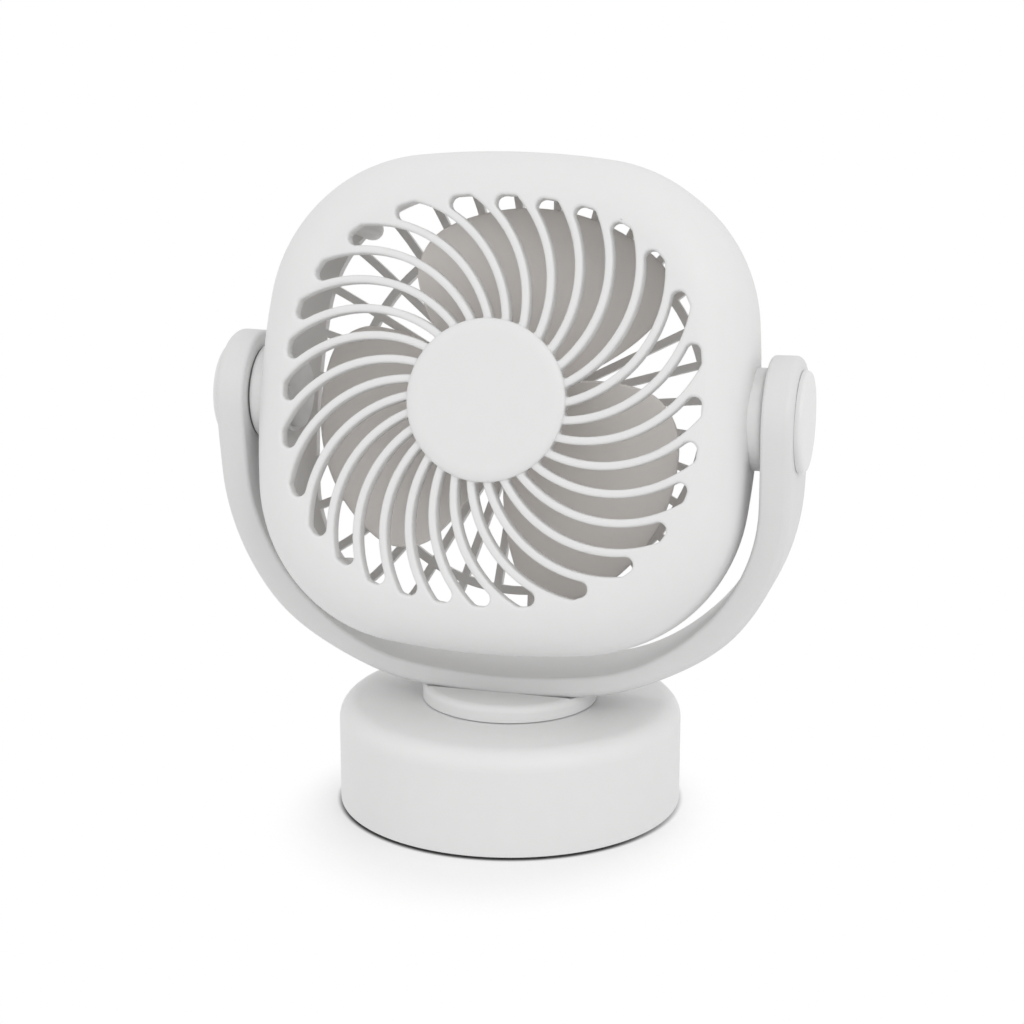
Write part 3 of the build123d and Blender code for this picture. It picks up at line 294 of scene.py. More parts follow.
def brushed(name, colour, sheen):
    """Plated steel: streaks that are long in one direction and fine across it."""
    finish = Finish(name)
    place = finish.node("TexCoord", output="Object")
    squeeze = tuple(share / (STREAK_MM * MM) for share in STREAK_SHAPE)
    stretched = finish.node("VectorMath", {"operation": "MULTIPLY"}, {0: place, 1: squeeze})
    streaks = finish.node("TexNoise", None, {"Vector": stretched, "Scale": 1.0, "Detail": 2.0})
    base = blend_colours(finish, streaks, tint(colour, 0.88), tint(colour, 1.08))
    bump = finish.node("Bump", None, {"Strength": 0.3, "Distance": 0.004 * MM, "Height": streaks})
    shader = finish.node(
        "BsdfPrincipled",
        None,
        {
            "Base Color": base,
            "Metallic": 1.0,
            "Roughness": sheen + 0.18 * (streaks - 0.5),
            "Normal": bump,
        },
    )
    return finish.surface(shader)


steel = brushed("steel", (0.58, 0.58, 0.6), 0.34)
print("streaks are", round(STREAK_MM / STREAK_SHAPE[2], 1), "mm long")

# %% A woven circuit board
THREAD_PITCH_MM = 1.7756
BAND_PITCH = math.pi / 10           # between two bands of a Wave node whose scale is 1


def woven_board(name, colour):
    """Glass laminate under green resist: two crossed waves make the weave."""
    finish = Finish(name)
    place = finish.node("TexCoord", output="Object")
    scale = BAND_PITCH / (THREAD_PITCH_MM * MM)
    warp, weft = [
        finish.node(
            "TexWave",
            {"bands_direction": direction},
            {"Vector": place, "Scale": scale, "Distortion": 0.4},
        )
        for direction in ("X", "Z")
    ]
    weave = warp * weft
    base = blend_colours(finish, weave, tint(colour, 0.8), tint(colour, 1.25))
    bump = finish.node("Bump", None, {"Strength": 0.4, "Distance": 0.01 * MM, "Height": weave})
    shader = finish.node(
        "BsdfPrincipled", None, {"Base Color": base, "Roughness": 0.3 + 0.1 * weave, "Normal": bump}
    )
    return finish.surface(shader)


board_green = woven_board("board", (0.02, 0.16, 0.06))
print("threads are", THREAD_PITCH_MM, "mm apart")

# %% The lamp's lens and the cells' sleeves
def milky(name, colour):
    """A diffuser: translucent plastic with a faint cloud in it."""
    finish = Finish(name)
    cloud = noise(finish, 0.8)
    base = blend_colours(finish, cloud, tint(colour, 0.94), tint(colour, 1.04))
    shader = finish.node(
        "BsdfPrincipled",
        None,
        {
            "Base Color": base,
            "Roughness": 0.25 + 0.1 * (cloud - 0.5),
            "Transmission Weight": 0.35,
            "IOR": 1.49,
        },
    )
    return finish.surface(shader)


cell_sleeve = moulded("cell_sleeve", (0.03, 0.2, 0.34), 0.28, grain_mm=1.2)
lamp_milk = milky("lamp_lens", (0.86, 0.86, 0.84))
print("finishes made:", len(bpy.data.materials))

# %% [markdown]
# ## Give every CAD solid its finish
#
# A solid whose shape is right stays as it is and only changes its material. The table says
# which finish each solid wears, and a pair such as the two cells has one line. The flat and
# rounded faces already carry the CAD's own normals, so nothing is smoothed here.

# %% Dress the CAD solids
WEARS = {
    "front_shell": white_shell,
    "hub_cap": white_shell,
    "rear_shell": white_rear,
    "shell_screws": steel,
    "motor_can": steel,
    "motor_end_cap": inner_plastic,
    "motor_front_bush": bush_brass,
    "motor_rear_bush": bush_brass,
    "motor_magnets": ferrite,
    "motor_screws": steel,
    "motor_armature": winding,
    "motor_shaft": steel,
    "impeller": impeller_plastic,
    "pivot_boss": white_shell,
    "friction_washer": washer_fibre,
    "pivot_washer": steel,
    "pivot_screw": steel,
    "pivot_cap": white_smooth,
    "yoke": white_yoke_painted_shade,
    "swivel_collar": white_shell,
    "yoke_screws": steel,
    "swivel_washer": washer_fibre,
    "swivel_nut": inner_plastic,
    "swivel_bush": inner_plastic,
    "base_housing": white_shell,
    "base_plate": white_shell,
    "base_screws": steel,
    "foot_ring": foot_rubber,
    "battery_cell": cell_sleeve,
    "circuit_board": board_green,
    "board_screws": steel,
    "push_switch": black_plastic,
    "charging_socket": steel,
    "lamp_lens": lamp_milk,
    "power_button": white_smooth,
}
SIDES = ("left_", "right_", "front_", "rear_")


def finish_of(name):
    """The finish of a node; a piece that comes in pairs is listed once."""
    for side in SIDES:
        if name not in WEARS:
            name = name.removeprefix(side)
    return WEARS[name]


for name, solid in nodes.items():
    solid.data.materials.clear()
    solid.data.materials.append(finish_of(name))
print("dressed", len(nodes), "solids")

# %% [markdown]
# ## Floor and light
#
# The fan stands on white paper in even, soft light. A wide lamp on each side in front of it
# gives the faces their level, the right one about twice as strong as the left, and a weak
# third one lights its right side. White surroundings do the rest, so the shadows are grey.
#
# The paper has to be white in the picture and still hold the shadow at the drum's foot. Its
# shader mixes an even white, which only the camera and mirrors see, with a real surface
# that shows shadow. Close to the drum the real surface wins, further off the white. Under
# the drum's edge a painted shadow darkens the paper as well, because the light that leaks
# into that narrow gap would otherwise wash out the thin dark line at the foot.

# %% Distances on the paper
ZONE_AHEAD = 0.016                  # metres, from the fan's axis to the shadow zone's middle
ZONE_SQUEEZE = 1.15                 # the zone is narrower from side to side by this factor
ZONE_INNER, ZONE_OUTER = 0.048, 0.081  # paper up to the first, even white from the second
DRUM_RADIUS = round(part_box("base_housing")[1][0], 5)
# painted shadow: the paper is painted dark up to the first radius, just inside the drum's edge, and
# is clear from the second
SHADOW_PAINT_INNER, SHADOW_PAINT_OUTER = DRUM_RADIUS - 0.0004, DRUM_RADIUS + 0.0016  # dark, then clear paper


def reach(finish, place):
    """How far a place is from the middle."""
    return finish.node("VectorMath", {"operation": "LENGTH"}, {0: place}, output="Value")


def soft_step(finish, distance, first, last):
    """0 up to the first distance and 1 from the last one on, with a smooth step between."""
    return finish.node(
        "MapRange",
        {"interpolation_type": "SMOOTHSTEP"},
        {"Value": distance, "From Min": first, "From Max": last},
    )


print("the paper is dark up to", round(SHADOW_PAINT_INNER / MM, 1), "mm from the axis")

# %% The white paper
PAPER_WIDTH = 12.0                  # metres
# the third grey is the painted shadow on the paper under the drum's edge
PAPER, BOUNCE, UNDER_DRUM_SHADOW_GREY = (0.95,) * 3, (0.85,) * 3, (0.1,) * 3


def sweep_material():
    """White paper: near the fan it shows shadow, far off it is an even white, and under the drum's
    edge it carries a painted shadow.
    """
    finish = Finish("sweep")
    place = finish.node("TexCoord", output="Object")
    ahead = finish.node("VectorMath", {"operation": "ADD"}, {0: place, 1: (0, ZONE_AHEAD, 0)})
    zone = finish.node("VectorMath", {"operation": "MULTIPLY"}, {0: ahead, 1: (ZONE_SQUEEZE, 1, 1)})
    far = soft_step(finish, reach(finish, zone), ZONE_INNER, ZONE_OUTER)
    clear = soft_step(finish, reach(finish, place), SHADOW_PAINT_INNER, SHADOW_PAINT_OUTER)
    seen = finish.node("LightPath", output="Is Camera Ray")
    mirrored = finish.node("LightPath", output="Is Glossy Ray")
    through_glass = finish.node("LightPath", output="Is Transmission Ray")
    white = finish.node("Emission", None, {"Color": (1, 1, 1, 1), "Strength": 1.0})
    dark, paper, dim_paper = [
        finish.node("BsdfDiffuse", None, {"Color": tint(grey)})
        for grey in (UNDER_DRUM_SHADOW_GREY, PAPER, BOUNCE)
    ]
    # painted shadow: under the drum's edge the paper wears the dark grey instead of the white paper
    near = finish.node("MixShader", None, {0: clear, 1: dark, 2: paper})
    shown = finish.node("MixShader", None, {0: far, 1: near, 2: white})
    lit = finish.node("MixShader", None, {0: mirrored + through_glass, 1: dim_paper, 2: white})
    return finish.surface(finish.node("MixShader", None, {0: seen, 1: lit, 2: shown}))


def flat_square(name, width):
    """A square on the floor, round the origin."""
    mesh = bpy.data.meshes.new(name)
    half = width / 2
    corners = [(-half, -half, 0), (half, -half, 0), (half, half, 0), (-half, half, 0)]
    mesh.from_pydata(corners, [], [(0, 1, 2, 3)])
    square = bpy.data.objects.new(name, mesh)
    scene.collection.objects.link(square)
    return square


sweep = flat_square("sweep", PAPER_WIDTH)
sweep.data.materials.append(sweep_material())
print("nodes in the paper's finish:", len(sweep.data.materials[0].node_tree.nodes))

# %% Three wide lamps
LAMP_WIDTH = 0.9
LAMP_DISTANCE = 1.7
LAMP_ELEVATION = math.radians(35)
DOME_MIDDLE, LAMP_AIM = (0, 0, 0.08), (0, 0, 0.09)
LAMPS = {                           # degrees to the right of straight in front, and watts
    "left_softbox": (-45, 1.5),
    "right_softbox": (45, 3.3),
    "side_softbox": (90, 0.9),
}


def softbox(name, azimuth, power):
    """A round soft lamp on a dome over the fan, turned towards the fan."""
    turn = math.radians(azimuth)
    level = LAMP_DISTANCE * math.cos(LAMP_ELEVATION)
    height = LAMP_DISTANCE * math.sin(LAMP_ELEVATION)
    data = bpy.data.lights.new(name, "AREA")
    data.shape = "DISK"
    data.size = LAMP_WIDTH
    data.energy = power
    lamp = bpy.data.objects.new(name, data)
    scene.collection.objects.link(lamp)
    offset = Vector((level * math.sin(turn), -level * math.cos(turn), height))
    lamp.location = Vector(DOME_MIDDLE) + offset
    lamp.rotation_euler = (Vector(LAMP_AIM) - lamp.location).to_track_quat("-Z", "Y").to_euler()


for name, (azimuth, power) in LAMPS.items():
    softbox(name, azimuth, power)

# %% White surroundings
SURROUNDING_LIGHT = 0.875


def surroundings():
    """White for the eye, and a little less for the light it gives."""
    world = Finish("surroundings", world=True)
    seen = world.node("LightPath", output="Is Camera Ray")
    lit, shown = [
        world.node("Background", None, {"Color": (1, 1, 1, 1), "Strength": strength})
        for strength in (SURROUNDING_LIGHT, 1.0)
    ]
    return world.surface(world.node("MixShader", None, {0: seen, 1: lit, 2: shown}))


scene.world = surroundings()
print("the surroundings give", SURROUNDING_LIGHT, "of full white")

# %% [markdown]
# ## The impeller
#
# The three broad blades are what shows between the ribs of the grille, so they are worth more
# than a bent plate. A moulded blade is a twisted sheet whose section is thickest behind its
# leading edge and thins towards its trailing edge and its tip, with both edges rounded off.
#
# A blade is easy to describe in the fan's own turning frame: how far out, how far round, how
# far along the shaft. So the mesh is a grid over those three, lifted off its middle surface
# by half the thickness on each side, and a subdivision surface melts the facets away. The
# record gives the shaft's place and direction, and the mesh stands in the solid's place.

# %% Where the impeller turns
joints = {joint["name"]: joint for joint in frame["record"]["behaviour"]["joints"]}
spin_place = Vector(joints["fan_spin"]["pos_m"])
spin_axis = Vector(joints["fan_spin"]["axis"]).normalized()
across = Vector((1, 0, 0))
SHAFT_TURN = Matrix((across, spin_axis.cross(across), spin_axis)).transposed()
IMPELLER_FRAME = Matrix.Translation(spin_place) @ SHAFT_TURN.to_4x4()
print("impeller axis", [round(v, 3) for v in spin_axis])

# %% From a drawn mesh to a piece of the fan
def mesh_of(name, work, place=Matrix.Identity(4)):
    """Turns a bmesh drawn in millimetres into a mesh, set in its place in metres."""
    bmesh.ops.recalc_face_normals(work, faces=work.faces)
    bmesh.ops.transform(work, matrix=place @ Matrix.Scale(MM, 4), verts=work.verts)
    made = bpy.data.meshes.new(name)
    work.to_mesh(made)
    work.free()
    return made


def new_piece(name, mesh_data, body, finish, slot_name, *stands_for):
    """Puts a mesh in the scene, on its body, in its finish, in place of its CAD nodes."""
    piece = bpy.data.objects.new(name, mesh_data)
    scene.collection.objects.link(piece)
    piece.data.materials.append(finish)
    for face in piece.data.polygons:
        face.use_smooth = True
    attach(piece, body)
    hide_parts(*stands_for)
    return piece


# %% The middle surface of a blade
BLADES = 3                          # all lengths of the impeller are in millimetres
BLADE_START = 4.0                   # degrees by which the first blade is turned on
HUB_RADIUS = 18.0
BLADE_ROOT = 16.5
BLADE_TIP = (62.5, 54.0)            # radius of the leading and of the trailing corner
BLADE_BULGE = 2.5                   # of the tip's edge between its corners
BLADE_CORNER = 9.0                  # round of both corners
LEADING = (22.0, 25.9, 35.0)        # degrees round the shaft: root, middle, tip
TRAILING = (138.0, 126.7, 113.0)
BLADE_MIDDLE = 4.0                  # height of the blade's middle along the shaft
BLADE_CLIMB = (13.0 / 116.0, 24.0 / 78.0)  # along the shaft for each degree: root, tip


def between(pair, share):
    """The value that lies this share of the way from the first to the second."""
    return pair[0] + (pair[1] - pair[0]) * share


def through(values, share):
    """A smooth value through three given at 0, 0.5 and 1."""
    start, middle, end = values
    bend = 2 * (start - 2 * middle + end)
    return start + (end - start - bend) * share + bend * share * share


def tip_radius(turn):
    """Where the blade ends, from its leading edge at 0 to its trailing edge at 1."""
    tip = between(BLADE_TIP, turn) + BLADE_BULGE * 4 * turn * (1 - turn)
    swing = math.radians(TRAILING[2] - LEADING[2]) * tip
    missing = max(BLADE_CORNER - min(turn, 1 - turn) * swing, 0)
    return tip - BLADE_CORNER + math.sqrt(BLADE_CORNER**2 - missing**2)


print("blade's tip in mm:", [round(tip_radius(turn / 4), 1) for turn in range(5)])

# %% Thickness, and one point of a blade's skin
BLADE_HALF_THICK = (1.05, 0.62)     # root, tip
BLADE_THINNING = (1.12, 0.67)       # factors on it: leading edge, trailing edge
RIM_THICK = 0.45                    # and at the rim, which subdivision then rounds off


def blade_point(out, turn, side):
    """out goes from root to tip, turn from leading to trailing edge, side from back to front."""
    radius = between((BLADE_ROOT, tip_radius(turn)), out)
    share = (radius - BLADE_ROOT) / (BLADE_TIP[0] - BLADE_ROOT)
    degrees = between((through(LEADING, share), through(TRAILING, share)), turn)
    climb = between(BLADE_CLIMB, share)
    height = BLADE_MIDDLE + climb * (degrees - (LEADING[0] + TRAILING[0]) / 2)
    lean = math.atan(climb / math.radians(1) / radius)
    angle = math.radians(degrees)
    outward = Vector((math.cos(angle), math.sin(angle), 0))
    onward = Vector((-math.sin(angle), math.cos(angle), 0))
    normal = Vector((0, 0, math.cos(lean))) - onward * math.sin(lean)
    half = between(BLADE_HALF_THICK, out) * between(BLADE_THINNING, turn)
    return outward * radius + Vector((0, 0, height)) + normal * half * side


print("blade's first corner:", [round(v, 1) for v in blade_point(0, 0, 0)])

# %% One blade as a grid of stations
ALONG, ROUND = 22, 30               # stations from root to tip, and round the shaft
ROOT_CROWDING = 0.9                 # below 1, the stations lie closer towards the tip


def blade(work):
    """Two skins over the same stations, sewn round the rim by one row between them."""
    skins = {}
    for side in (-1, 1):
        for i in range(ALONG + 1):
            for j in range(ROUND + 1):
                on_rim = i == ALONG or j in (0, ROUND)
                out = (i / ALONG) ** ROOT_CROWDING
                turn = (1 - math.cos(math.pi * j / ROUND)) / 2
                point = blade_point(out, turn, side * (RIM_THICK if on_rim else 1.0))
                skins[side, i, j] = work.verts.new(point)
    for side in (-1, 1):
        for i in range(ALONG):
            for j in range(ROUND):
                corners = [skins[side, i, j], skins[side, i + 1, j]]
                corners += [skins[side, i + 1, j + 1], skins[side, i, j + 1]]
                work.faces.new(corners)
    rim = [(i, 0) for i in range(ALONG + 1)] + [(ALONG, j) for j in range(1, ROUND + 1)]
    rim += [(i, ROUND) for i in range(ALONG - 1, -1, -1)]
    rim += [(0, j) for j in range(ROUND - 1, 0, -1)]
    for here, there in zip(rim, rim[1:] + rim[:1]):
        work.faces.new([skins[1, *here], skins[1, *there], skins[-1, *there], skins[-1, *here]])


print("points in one blade:", 2 * (ALONG + 1) * (ROUND + 1))

# %% Three blades
def all_blades():
    """The same blade three times round the shaft."""
    work = bmesh.new()
    for k in range(BLADES):
        before = len(work.verts)
        blade(work)
        work.verts.ensure_lookup_table()
        place = Matrix.Rotation(math.radians(BLADE_START + 360 / BLADES * k), 4, "Z")
        bmesh.ops.transform(work, matrix=place, verts=work.verts[before:])
    return work


impeller_blades = new_piece(
    "impeller_blades",
    mesh_of("impeller_blades", all_blades(), IMPELLER_FRAME),
    "fan",
    impeller_plastic,
    "impeller_plastic",
    "impeller",
)
rounding = impeller_blades.modifiers.new("soft_edges", "SUBSURF")
rounding.levels = rounding.render_levels = 1
print("blade mesh:", len(impeller_blades.data.vertices), "points before subdivision")

# %% [markdown]
# ## The impeller's hub
#
# The blades grow out of a shallow cup, open at the back, with a sleeve inside that grips the
# shaft. A round piece like that is quickest drawn as half of its section and spun about the
# shaft, like a pot on a wheel. Its rounded corners are arcs of a few short steps, which smooth
# shading turns into one curve, and the corners that are really sharp are split.

# %% Tools for turned pieces
SEAM = 0.001                        # where the spin closes, points this close are one


def turned(outline, steps=96):
    """A solid of revolution about +Z from points (radius, height) in millimetres."""
    work = bmesh.new()
    ring = [work.verts.new((radius, 0, height)) for radius, height in outline]
    edges = [work.edges.new(pair) for pair in zip(ring, ring[1:])]
    bmesh.ops.spin(
        work, geom=ring + edges, cent=(0, 0, 0), axis=(0, 0, 1), angle=2 * math.pi, steps=steps
    )
    bmesh.ops.remove_doubles(work, verts=work.verts, dist=SEAM)
    return work


def corner(middle_radius, middle_height, radius, first, last, steps=8):
    """Points of a rounded corner, from one angle to another, in degrees."""
    angles = [math.radians(first + (last - first) * k / steps) for k in range(steps + 1)]
    return [
        (middle_radius + radius * math.cos(a), middle_height + radius * math.sin(a)) for a in angles
    ]


print("a quarter round in", len(corner(0, 0, 1, 0, 90)), "points")

# %% The hub, turned like a pot
HUB_BACK, HUB_FRONT = -4.0, 13.0    # along the shaft from the pivot axis
HUB_WALL, HUB_ROUND, HUB_INNER_ROUND, HUB_EDGE = 2.0, 4.0, 1.0, 0.3
SLEEVE_RADIUS, SLEEVE_BACK, SLEEVE_EDGE = 3.6, 3.6, 0.6
SHAFT_RADIUS = 1.15
hub_floor = HUB_FRONT - HUB_WALL
hub_inside = HUB_RADIUS - HUB_WALL
hub_outline = [(0, HUB_FRONT)]
hub_outline += corner(HUB_RADIUS - HUB_ROUND, HUB_FRONT - HUB_ROUND, HUB_ROUND, 90, 0)
hub_outline += [(HUB_RADIUS, HUB_BACK + HUB_EDGE), (HUB_RADIUS - HUB_EDGE, HUB_BACK)]
hub_outline += [(hub_inside, HUB_BACK)]
hub_outline += corner(
    hub_inside - HUB_INNER_ROUND, hub_floor - HUB_INNER_ROUND, HUB_INNER_ROUND, 0, 90
)
hub_outline += [(SLEEVE_RADIUS + SLEEVE_EDGE, hub_floor), (SLEEVE_RADIUS, hub_floor - SLEEVE_EDGE)]
hub_outline += [(SLEEVE_RADIUS, SLEEVE_BACK), (SHAFT_RADIUS, SLEEVE_BACK)]
hub_outline += [(SHAFT_RADIUS, hub_floor), (0, hub_floor)]
impeller_hub = new_piece(
    "impeller_hub",
    mesh_of("impeller_hub", turned(hub_outline), IMPELLER_FRAME),
    "fan",
    impeller_plastic,
    "impeller_plastic",
    "impeller",
)
sharp_corners = impeller_hub.modifiers.new("sharp_corners", "EDGE_SPLIT")
sharp_corners.split_angle = math.radians(40)
print("hub mesh:", len(impeller_hub.data.vertices), "points")

# %% [markdown]
# ## The yoke
#
# The yoke is one moulded band that runs down one arm, under the head and up the other, with
# a round lobe at each end for the pivot. In the photograph its edges are crisp, with only a
# narrow round along them, and the band thins towards its lowest point.
#
# A band is two numbers at every station along its line: how deep it is and how thick. So the
# mesh walks the line, lays four corners at each station and joins them to the next four. The
# long edges are then bevelled, which rounds the straps and the lobes alike because the edges
# run all the way round both. Last, a stepped cutter takes out the pin's bore and the screw's
# pocket in each lobe.

# %% The line of the yoke
def box_mm(node):
    """The two corners of a solid's box in millimetres, to a hundredth."""
    return [[round(value / MM, 2) for value in point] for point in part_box(node)]


yoke_low, yoke_high = box_mm("yoke")
PIVOT_HEIGHT = round(spin_place.z / MM, 2)
YOKE_HALF_WIDTH, LOBE_RADIUS = yoke_high[:2]  # out to an arm, and the lobe's half depth
YOKE_DROP = PIVOT_HEIGHT - yoke_low[2]
ARM_BOW, STRAP_BOW, CORNER_BOW = 900.0, 203.0, 66.0  # radii of the three arcs
BAND_HALF_DEPTH = 13.5
LOBE_TAPER = 46.0                   # drop from the pivot over which the lobe narrows
TAPER_EASE = 0.35                   # share of the taper over which it bends into the strap
taper_reach = math.hypot(BAND_HALF_DEPTH, LOBE_TAPER)
taper_turn = math.atan2(LOBE_TAPER, BAND_HALF_DEPTH)
LOBE_TOUCH = math.acos(LOBE_RADIUS / taper_reach) - taper_turn  # where the taper is a tangent


def corner_centre():
    """The corner arc's middle: where circles round the other two arcs' middles cross."""
    x, y = YOKE_HALF_WIDTH - ARM_BOW, YOKE_DROP - STRAP_BOW
    reach_x, reach_y = ARM_BOW - CORNER_BOW, STRAP_BOW - CORNER_BOW
    apart = math.hypot(x, y)
    along = (reach_x**2 - reach_y**2 + apart**2) / (2 * apart)
    aside = math.sqrt(reach_x**2 - along**2)
    return x - (along * x + aside * y) / apart, (along * y + aside * -x) / apart


def half_depth(height):
    """Half the band's depth below the lobe's circle: a taper that eases into the strap."""
    low, deep = LOBE_RADIUS * math.sin(LOBE_TOUCH), LOBE_RADIUS * math.cos(LOBE_TOUCH)
    share = (low - height) / (low + LOBE_TAPER)
    if share > 1 - TAPER_EASE:
        share = 1 - max(1 + TAPER_EASE - share, 0) ** 2 / (4 * TAPER_EASE)
    return between((deep, BAND_HALF_DEPTH), share)


print("the taper leaves the lobe at", round(math.degrees(LOBE_TOUCH), 1), "degrees")

# %% Three arcs from the lobe to the middle
LOBE_TOP = math.radians(88)         # the lobe's outline starts just short of its top
LOBE_STEPS, ARM_STEPS, CORNER_STEPS, STRAP_STEPS = 18, 5, 34, 16


def yoke_line():
    """Rows of (arc's middle, arc's radius, angle, half depth), from the top down."""
    kx, ky = corner_centre()
    arm_middle = (YOKE_HALF_WIDTH - ARM_BOW, 0)
    strap_middle = (0, STRAP_BOW - YOKE_DROP)
    arm_end = -math.atan2(ky, kx - arm_middle[0])
    strap_start = -math.pi / 2 + math.atan2(kx, ky + strap_middle[1])
    rows = []
    for k in range(LOBE_STEPS + 1):
        turn = between((LOBE_TOP, LOBE_TOUCH), k / LOBE_STEPS)
        angle = math.asin(LOBE_RADIUS * math.sin(turn) / ARM_BOW)
        rows.append((arm_middle, ARM_BOW, angle, LOBE_RADIUS * math.cos(turn)))
    arcs = [
        (arm_middle, ARM_BOW, rows[-1][2], arm_end, ARM_STEPS),
        ((kx, -ky), CORNER_BOW, arm_end, strap_start, CORNER_STEPS),
        (strap_middle, STRAP_BOW, strap_start, -math.pi / 2, STRAP_STEPS),
    ]
    for middle, radius, first, last, steps in arcs:
        for k in range(1, steps + 1):
            angle = between((first, last), k / steps)
            rows.append((middle, radius, angle, half_depth(middle[1] + radius * math.sin(angle))))
    return rows


print("the arm ends", round(-math.degrees(yoke_line()[LOBE_STEPS + ARM_STEPS][2]), 1), "degrees down")

# %% Thickness at every station
BAND_THICK = (9.2, 7.0)             # on the arms, and at the lowest point
THIN_FROM = 45                      # degrees below level where the band starts to thin
BAND_FLAT = 1.3                     # how far the outside of each corner is drawn in
FLAT_FROM = 38                      # degrees below level where that starts


def share_round(angle, start):
    """How far an arc has turned, from start degrees below level to straight down."""
    return min(max((-math.degrees(angle) - start) / (90 - start), 0), 1)


def yoke_stations():
    """The same rows with the outside drawn in round the corner, and the thickness added."""
    stations = []
    for middle, radius, angle, half in yoke_line():
        share = share_round(angle, THIN_FROM)
        thick = between(BAND_THICK, share * share * (3 - 2 * share))
        flat = BAND_FLAT * math.sin(math.pi * share_round(angle, FLAT_FROM)) ** 2
        stations.append((middle, radius - flat, angle, half, thick - flat))
    return stations


right_half = yoke_stations()
print("yoke stations on one side:", len(right_half))

# %% The band and its rounded edges
BAND_EDGE = (2.4, 1.2)              # rounds on the outside and the inside of the band
LONG_EDGE = math.radians(50)        # an edge that bends by more than this is bevelled


def band_corners(station, hand):
    """Outer front, outer back, inner back, inner front, at one station of one hand."""
    (cx, cz), radius, angle, half, thick = station
    inside = radius - thick
    corners = []
    for reach_out, depth in ((radius, -half), (radius, half), (inside, half), (inside, -half)):
        x = cx + reach_out * math.cos(angle)
        z = cz + reach_out * math.sin(angle)
        corners.append(Vector((hand * x, depth, PIVOT_HEIGHT + z)))
    return corners


def yoke_band():
    """The band from lobe to lobe, with its long edges bevelled."""
    work = bmesh.new()
    rows = [[work.verts.new(c) for c in band_corners(s, 1)] for s in right_half]
    rows += [[work.verts.new(c) for c in band_corners(s, -1)] for s in reversed(right_half[:-1])]
    for here, there in zip(rows, rows[1:]):
        for k in range(4):
            work.faces.new([here[k], there[k], there[(k + 1) % 4], here[(k + 1) % 4]])
    work.faces.new(rows[0])
    work.faces.new(rows[-1])
    bmesh.ops.recalc_face_normals(work, faces=work.faces)
    outside = set()
    for row in rows:
        outside.update(row[:2])
    sharp = [edge for edge in work.edges if edge.calc_face_angle() > LONG_EDGE]
    outer = [edge for edge in sharp if outside.issuperset(edge.verts)]
    inner = [edge for edge in sharp if outside.isdisjoint(edge.verts)]
    for edges, width in ((outer, BAND_EDGE[0]), (inner, BAND_EDGE[1])):
        bmesh.ops.bevel(work, geom=edges, offset=width, segments=5, profile=0.5, affect="EDGES")
    return work


blank_yoke = mesh_of("yoke_band", yoke_band())
print("yoke before its bores:", len(blank_yoke.vertices), "points")

# %% Tools for cutting along the pivot axis
def pivot_frame(hand):
    """The frame whose +Z runs along the pivot axis, out of the fan's right or left side."""
    height = Matrix.Translation((0, 0, PIVOT_HEIGHT * MM))
    return height @ Matrix.Rotation(hand * math.pi / 2, 4, "Y")


def carved(name, blank_mesh, cutters, operation="DIFFERENCE"):
    """The mesh without its cutters, or with INTERSECT only what lies inside them."""
    blank = bpy.data.objects.new(name, blank_mesh)
    scene.collection.objects.link(blank)
    tools = []
    for cutter_mesh in cutters:
        tool = bpy.data.objects.new("cutter", cutter_mesh)
        scene.collection.objects.link(tool)
        cut = blank.modifiers.new("cut", "BOOLEAN")
        cut.operation, cut.solver, cut.object = operation, "EXACT", tool
        tools.append(tool)
    bpy.context.view_layer.update()
    seen = blank.evaluated_get(bpy.context.evaluated_depsgraph_get())
    made = bpy.data.meshes.new_from_object(seen)
    for spare in (blank, *tools):
        bpy.data.objects.remove(spare)
    made.name = name
    return made


print("the pivot axis is", PIVOT_HEIGHT, "mm above the table")

# %% Bores and pockets
PIN_BORE, POCKET_RADIUS, POCKET_FLOOR = 4.05, 8.0, 85.0
CUTTER_ENDS = (70.0, 95.0)          # both clear of the arm, along the pivot axis
cut_from, cut_to = CUTTER_ENDS
bore_outline = [(0, cut_from), (PIN_BORE, cut_from), (PIN_BORE, POCKET_FLOOR)]
bore_outline += [(POCKET_RADIUS, POCKET_FLOOR), (POCKET_RADIUS, cut_to), (0, cut_to)]
bores = [mesh_of("cutter", turned(bore_outline, 48), pivot_frame(hand)) for hand in (-1, 1)]
yoke_piece = new_piece(
    "yoke_band",
    carved("yoke_band", blank_yoke, bores),
    "yoke",
    white_yoke_painted_shade,
    "white_shell",
    "yoke",
)
yoke_piece.data.set_sharp_from_angle(angle=math.radians(40))
print("yoke mesh:", len(yoke_piece.data.vertices), "points")

# %% [markdown]
# ## The pivot bosses
#
# Each boss ends against its arm in a softly rounded rim, and the rim's shade draws the dark
# groove between the two. The solid's rim is sharp. A bevel would also round the seats that
# the shells clamp, so a turned envelope with one rounded shoulder is laid over the solid
# instead, and only what lies inside the envelope is kept.

# %% Bosses with rounded rims
BOSS_RADIUS = box_mm("right_pivot_boss")[1][1]
BOSS_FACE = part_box("right_friction_washer")[0][0] / MM - 0.05  # just behind the washer
BOSS_RIM = 1.6
SHOULDER_LEAD = 4.0                 # straight stretch of the envelope before the round
PIN_CLEAR = 5.0                     # radius round the pin that the envelope leaves alone
ENVELOPE_ENDS = (40.0, 95.0)        # both clear of the boss, along the pivot axis
ENVELOPE_RADIUS = BOSS_RADIUS + 3.0
HAIR = 0.02                         # keeps the envelope just off the solid's own faces
first, last = ENVELOPE_ENDS
shoulder = BOSS_FACE - BOSS_RIM - SHOULDER_LEAD
envelope = [(0, first), (ENVELOPE_RADIUS, first), (ENVELOPE_RADIUS, shoulder)]
envelope += [(BOSS_RADIUS + HAIR, shoulder)]
envelope += corner(BOSS_RADIUS - BOSS_RIM, BOSS_FACE - BOSS_RIM, BOSS_RIM, 0, 90)
envelope += [(PIN_CLEAR, BOSS_FACE + HAIR / 2), (PIN_CLEAR, last), (0, last)]
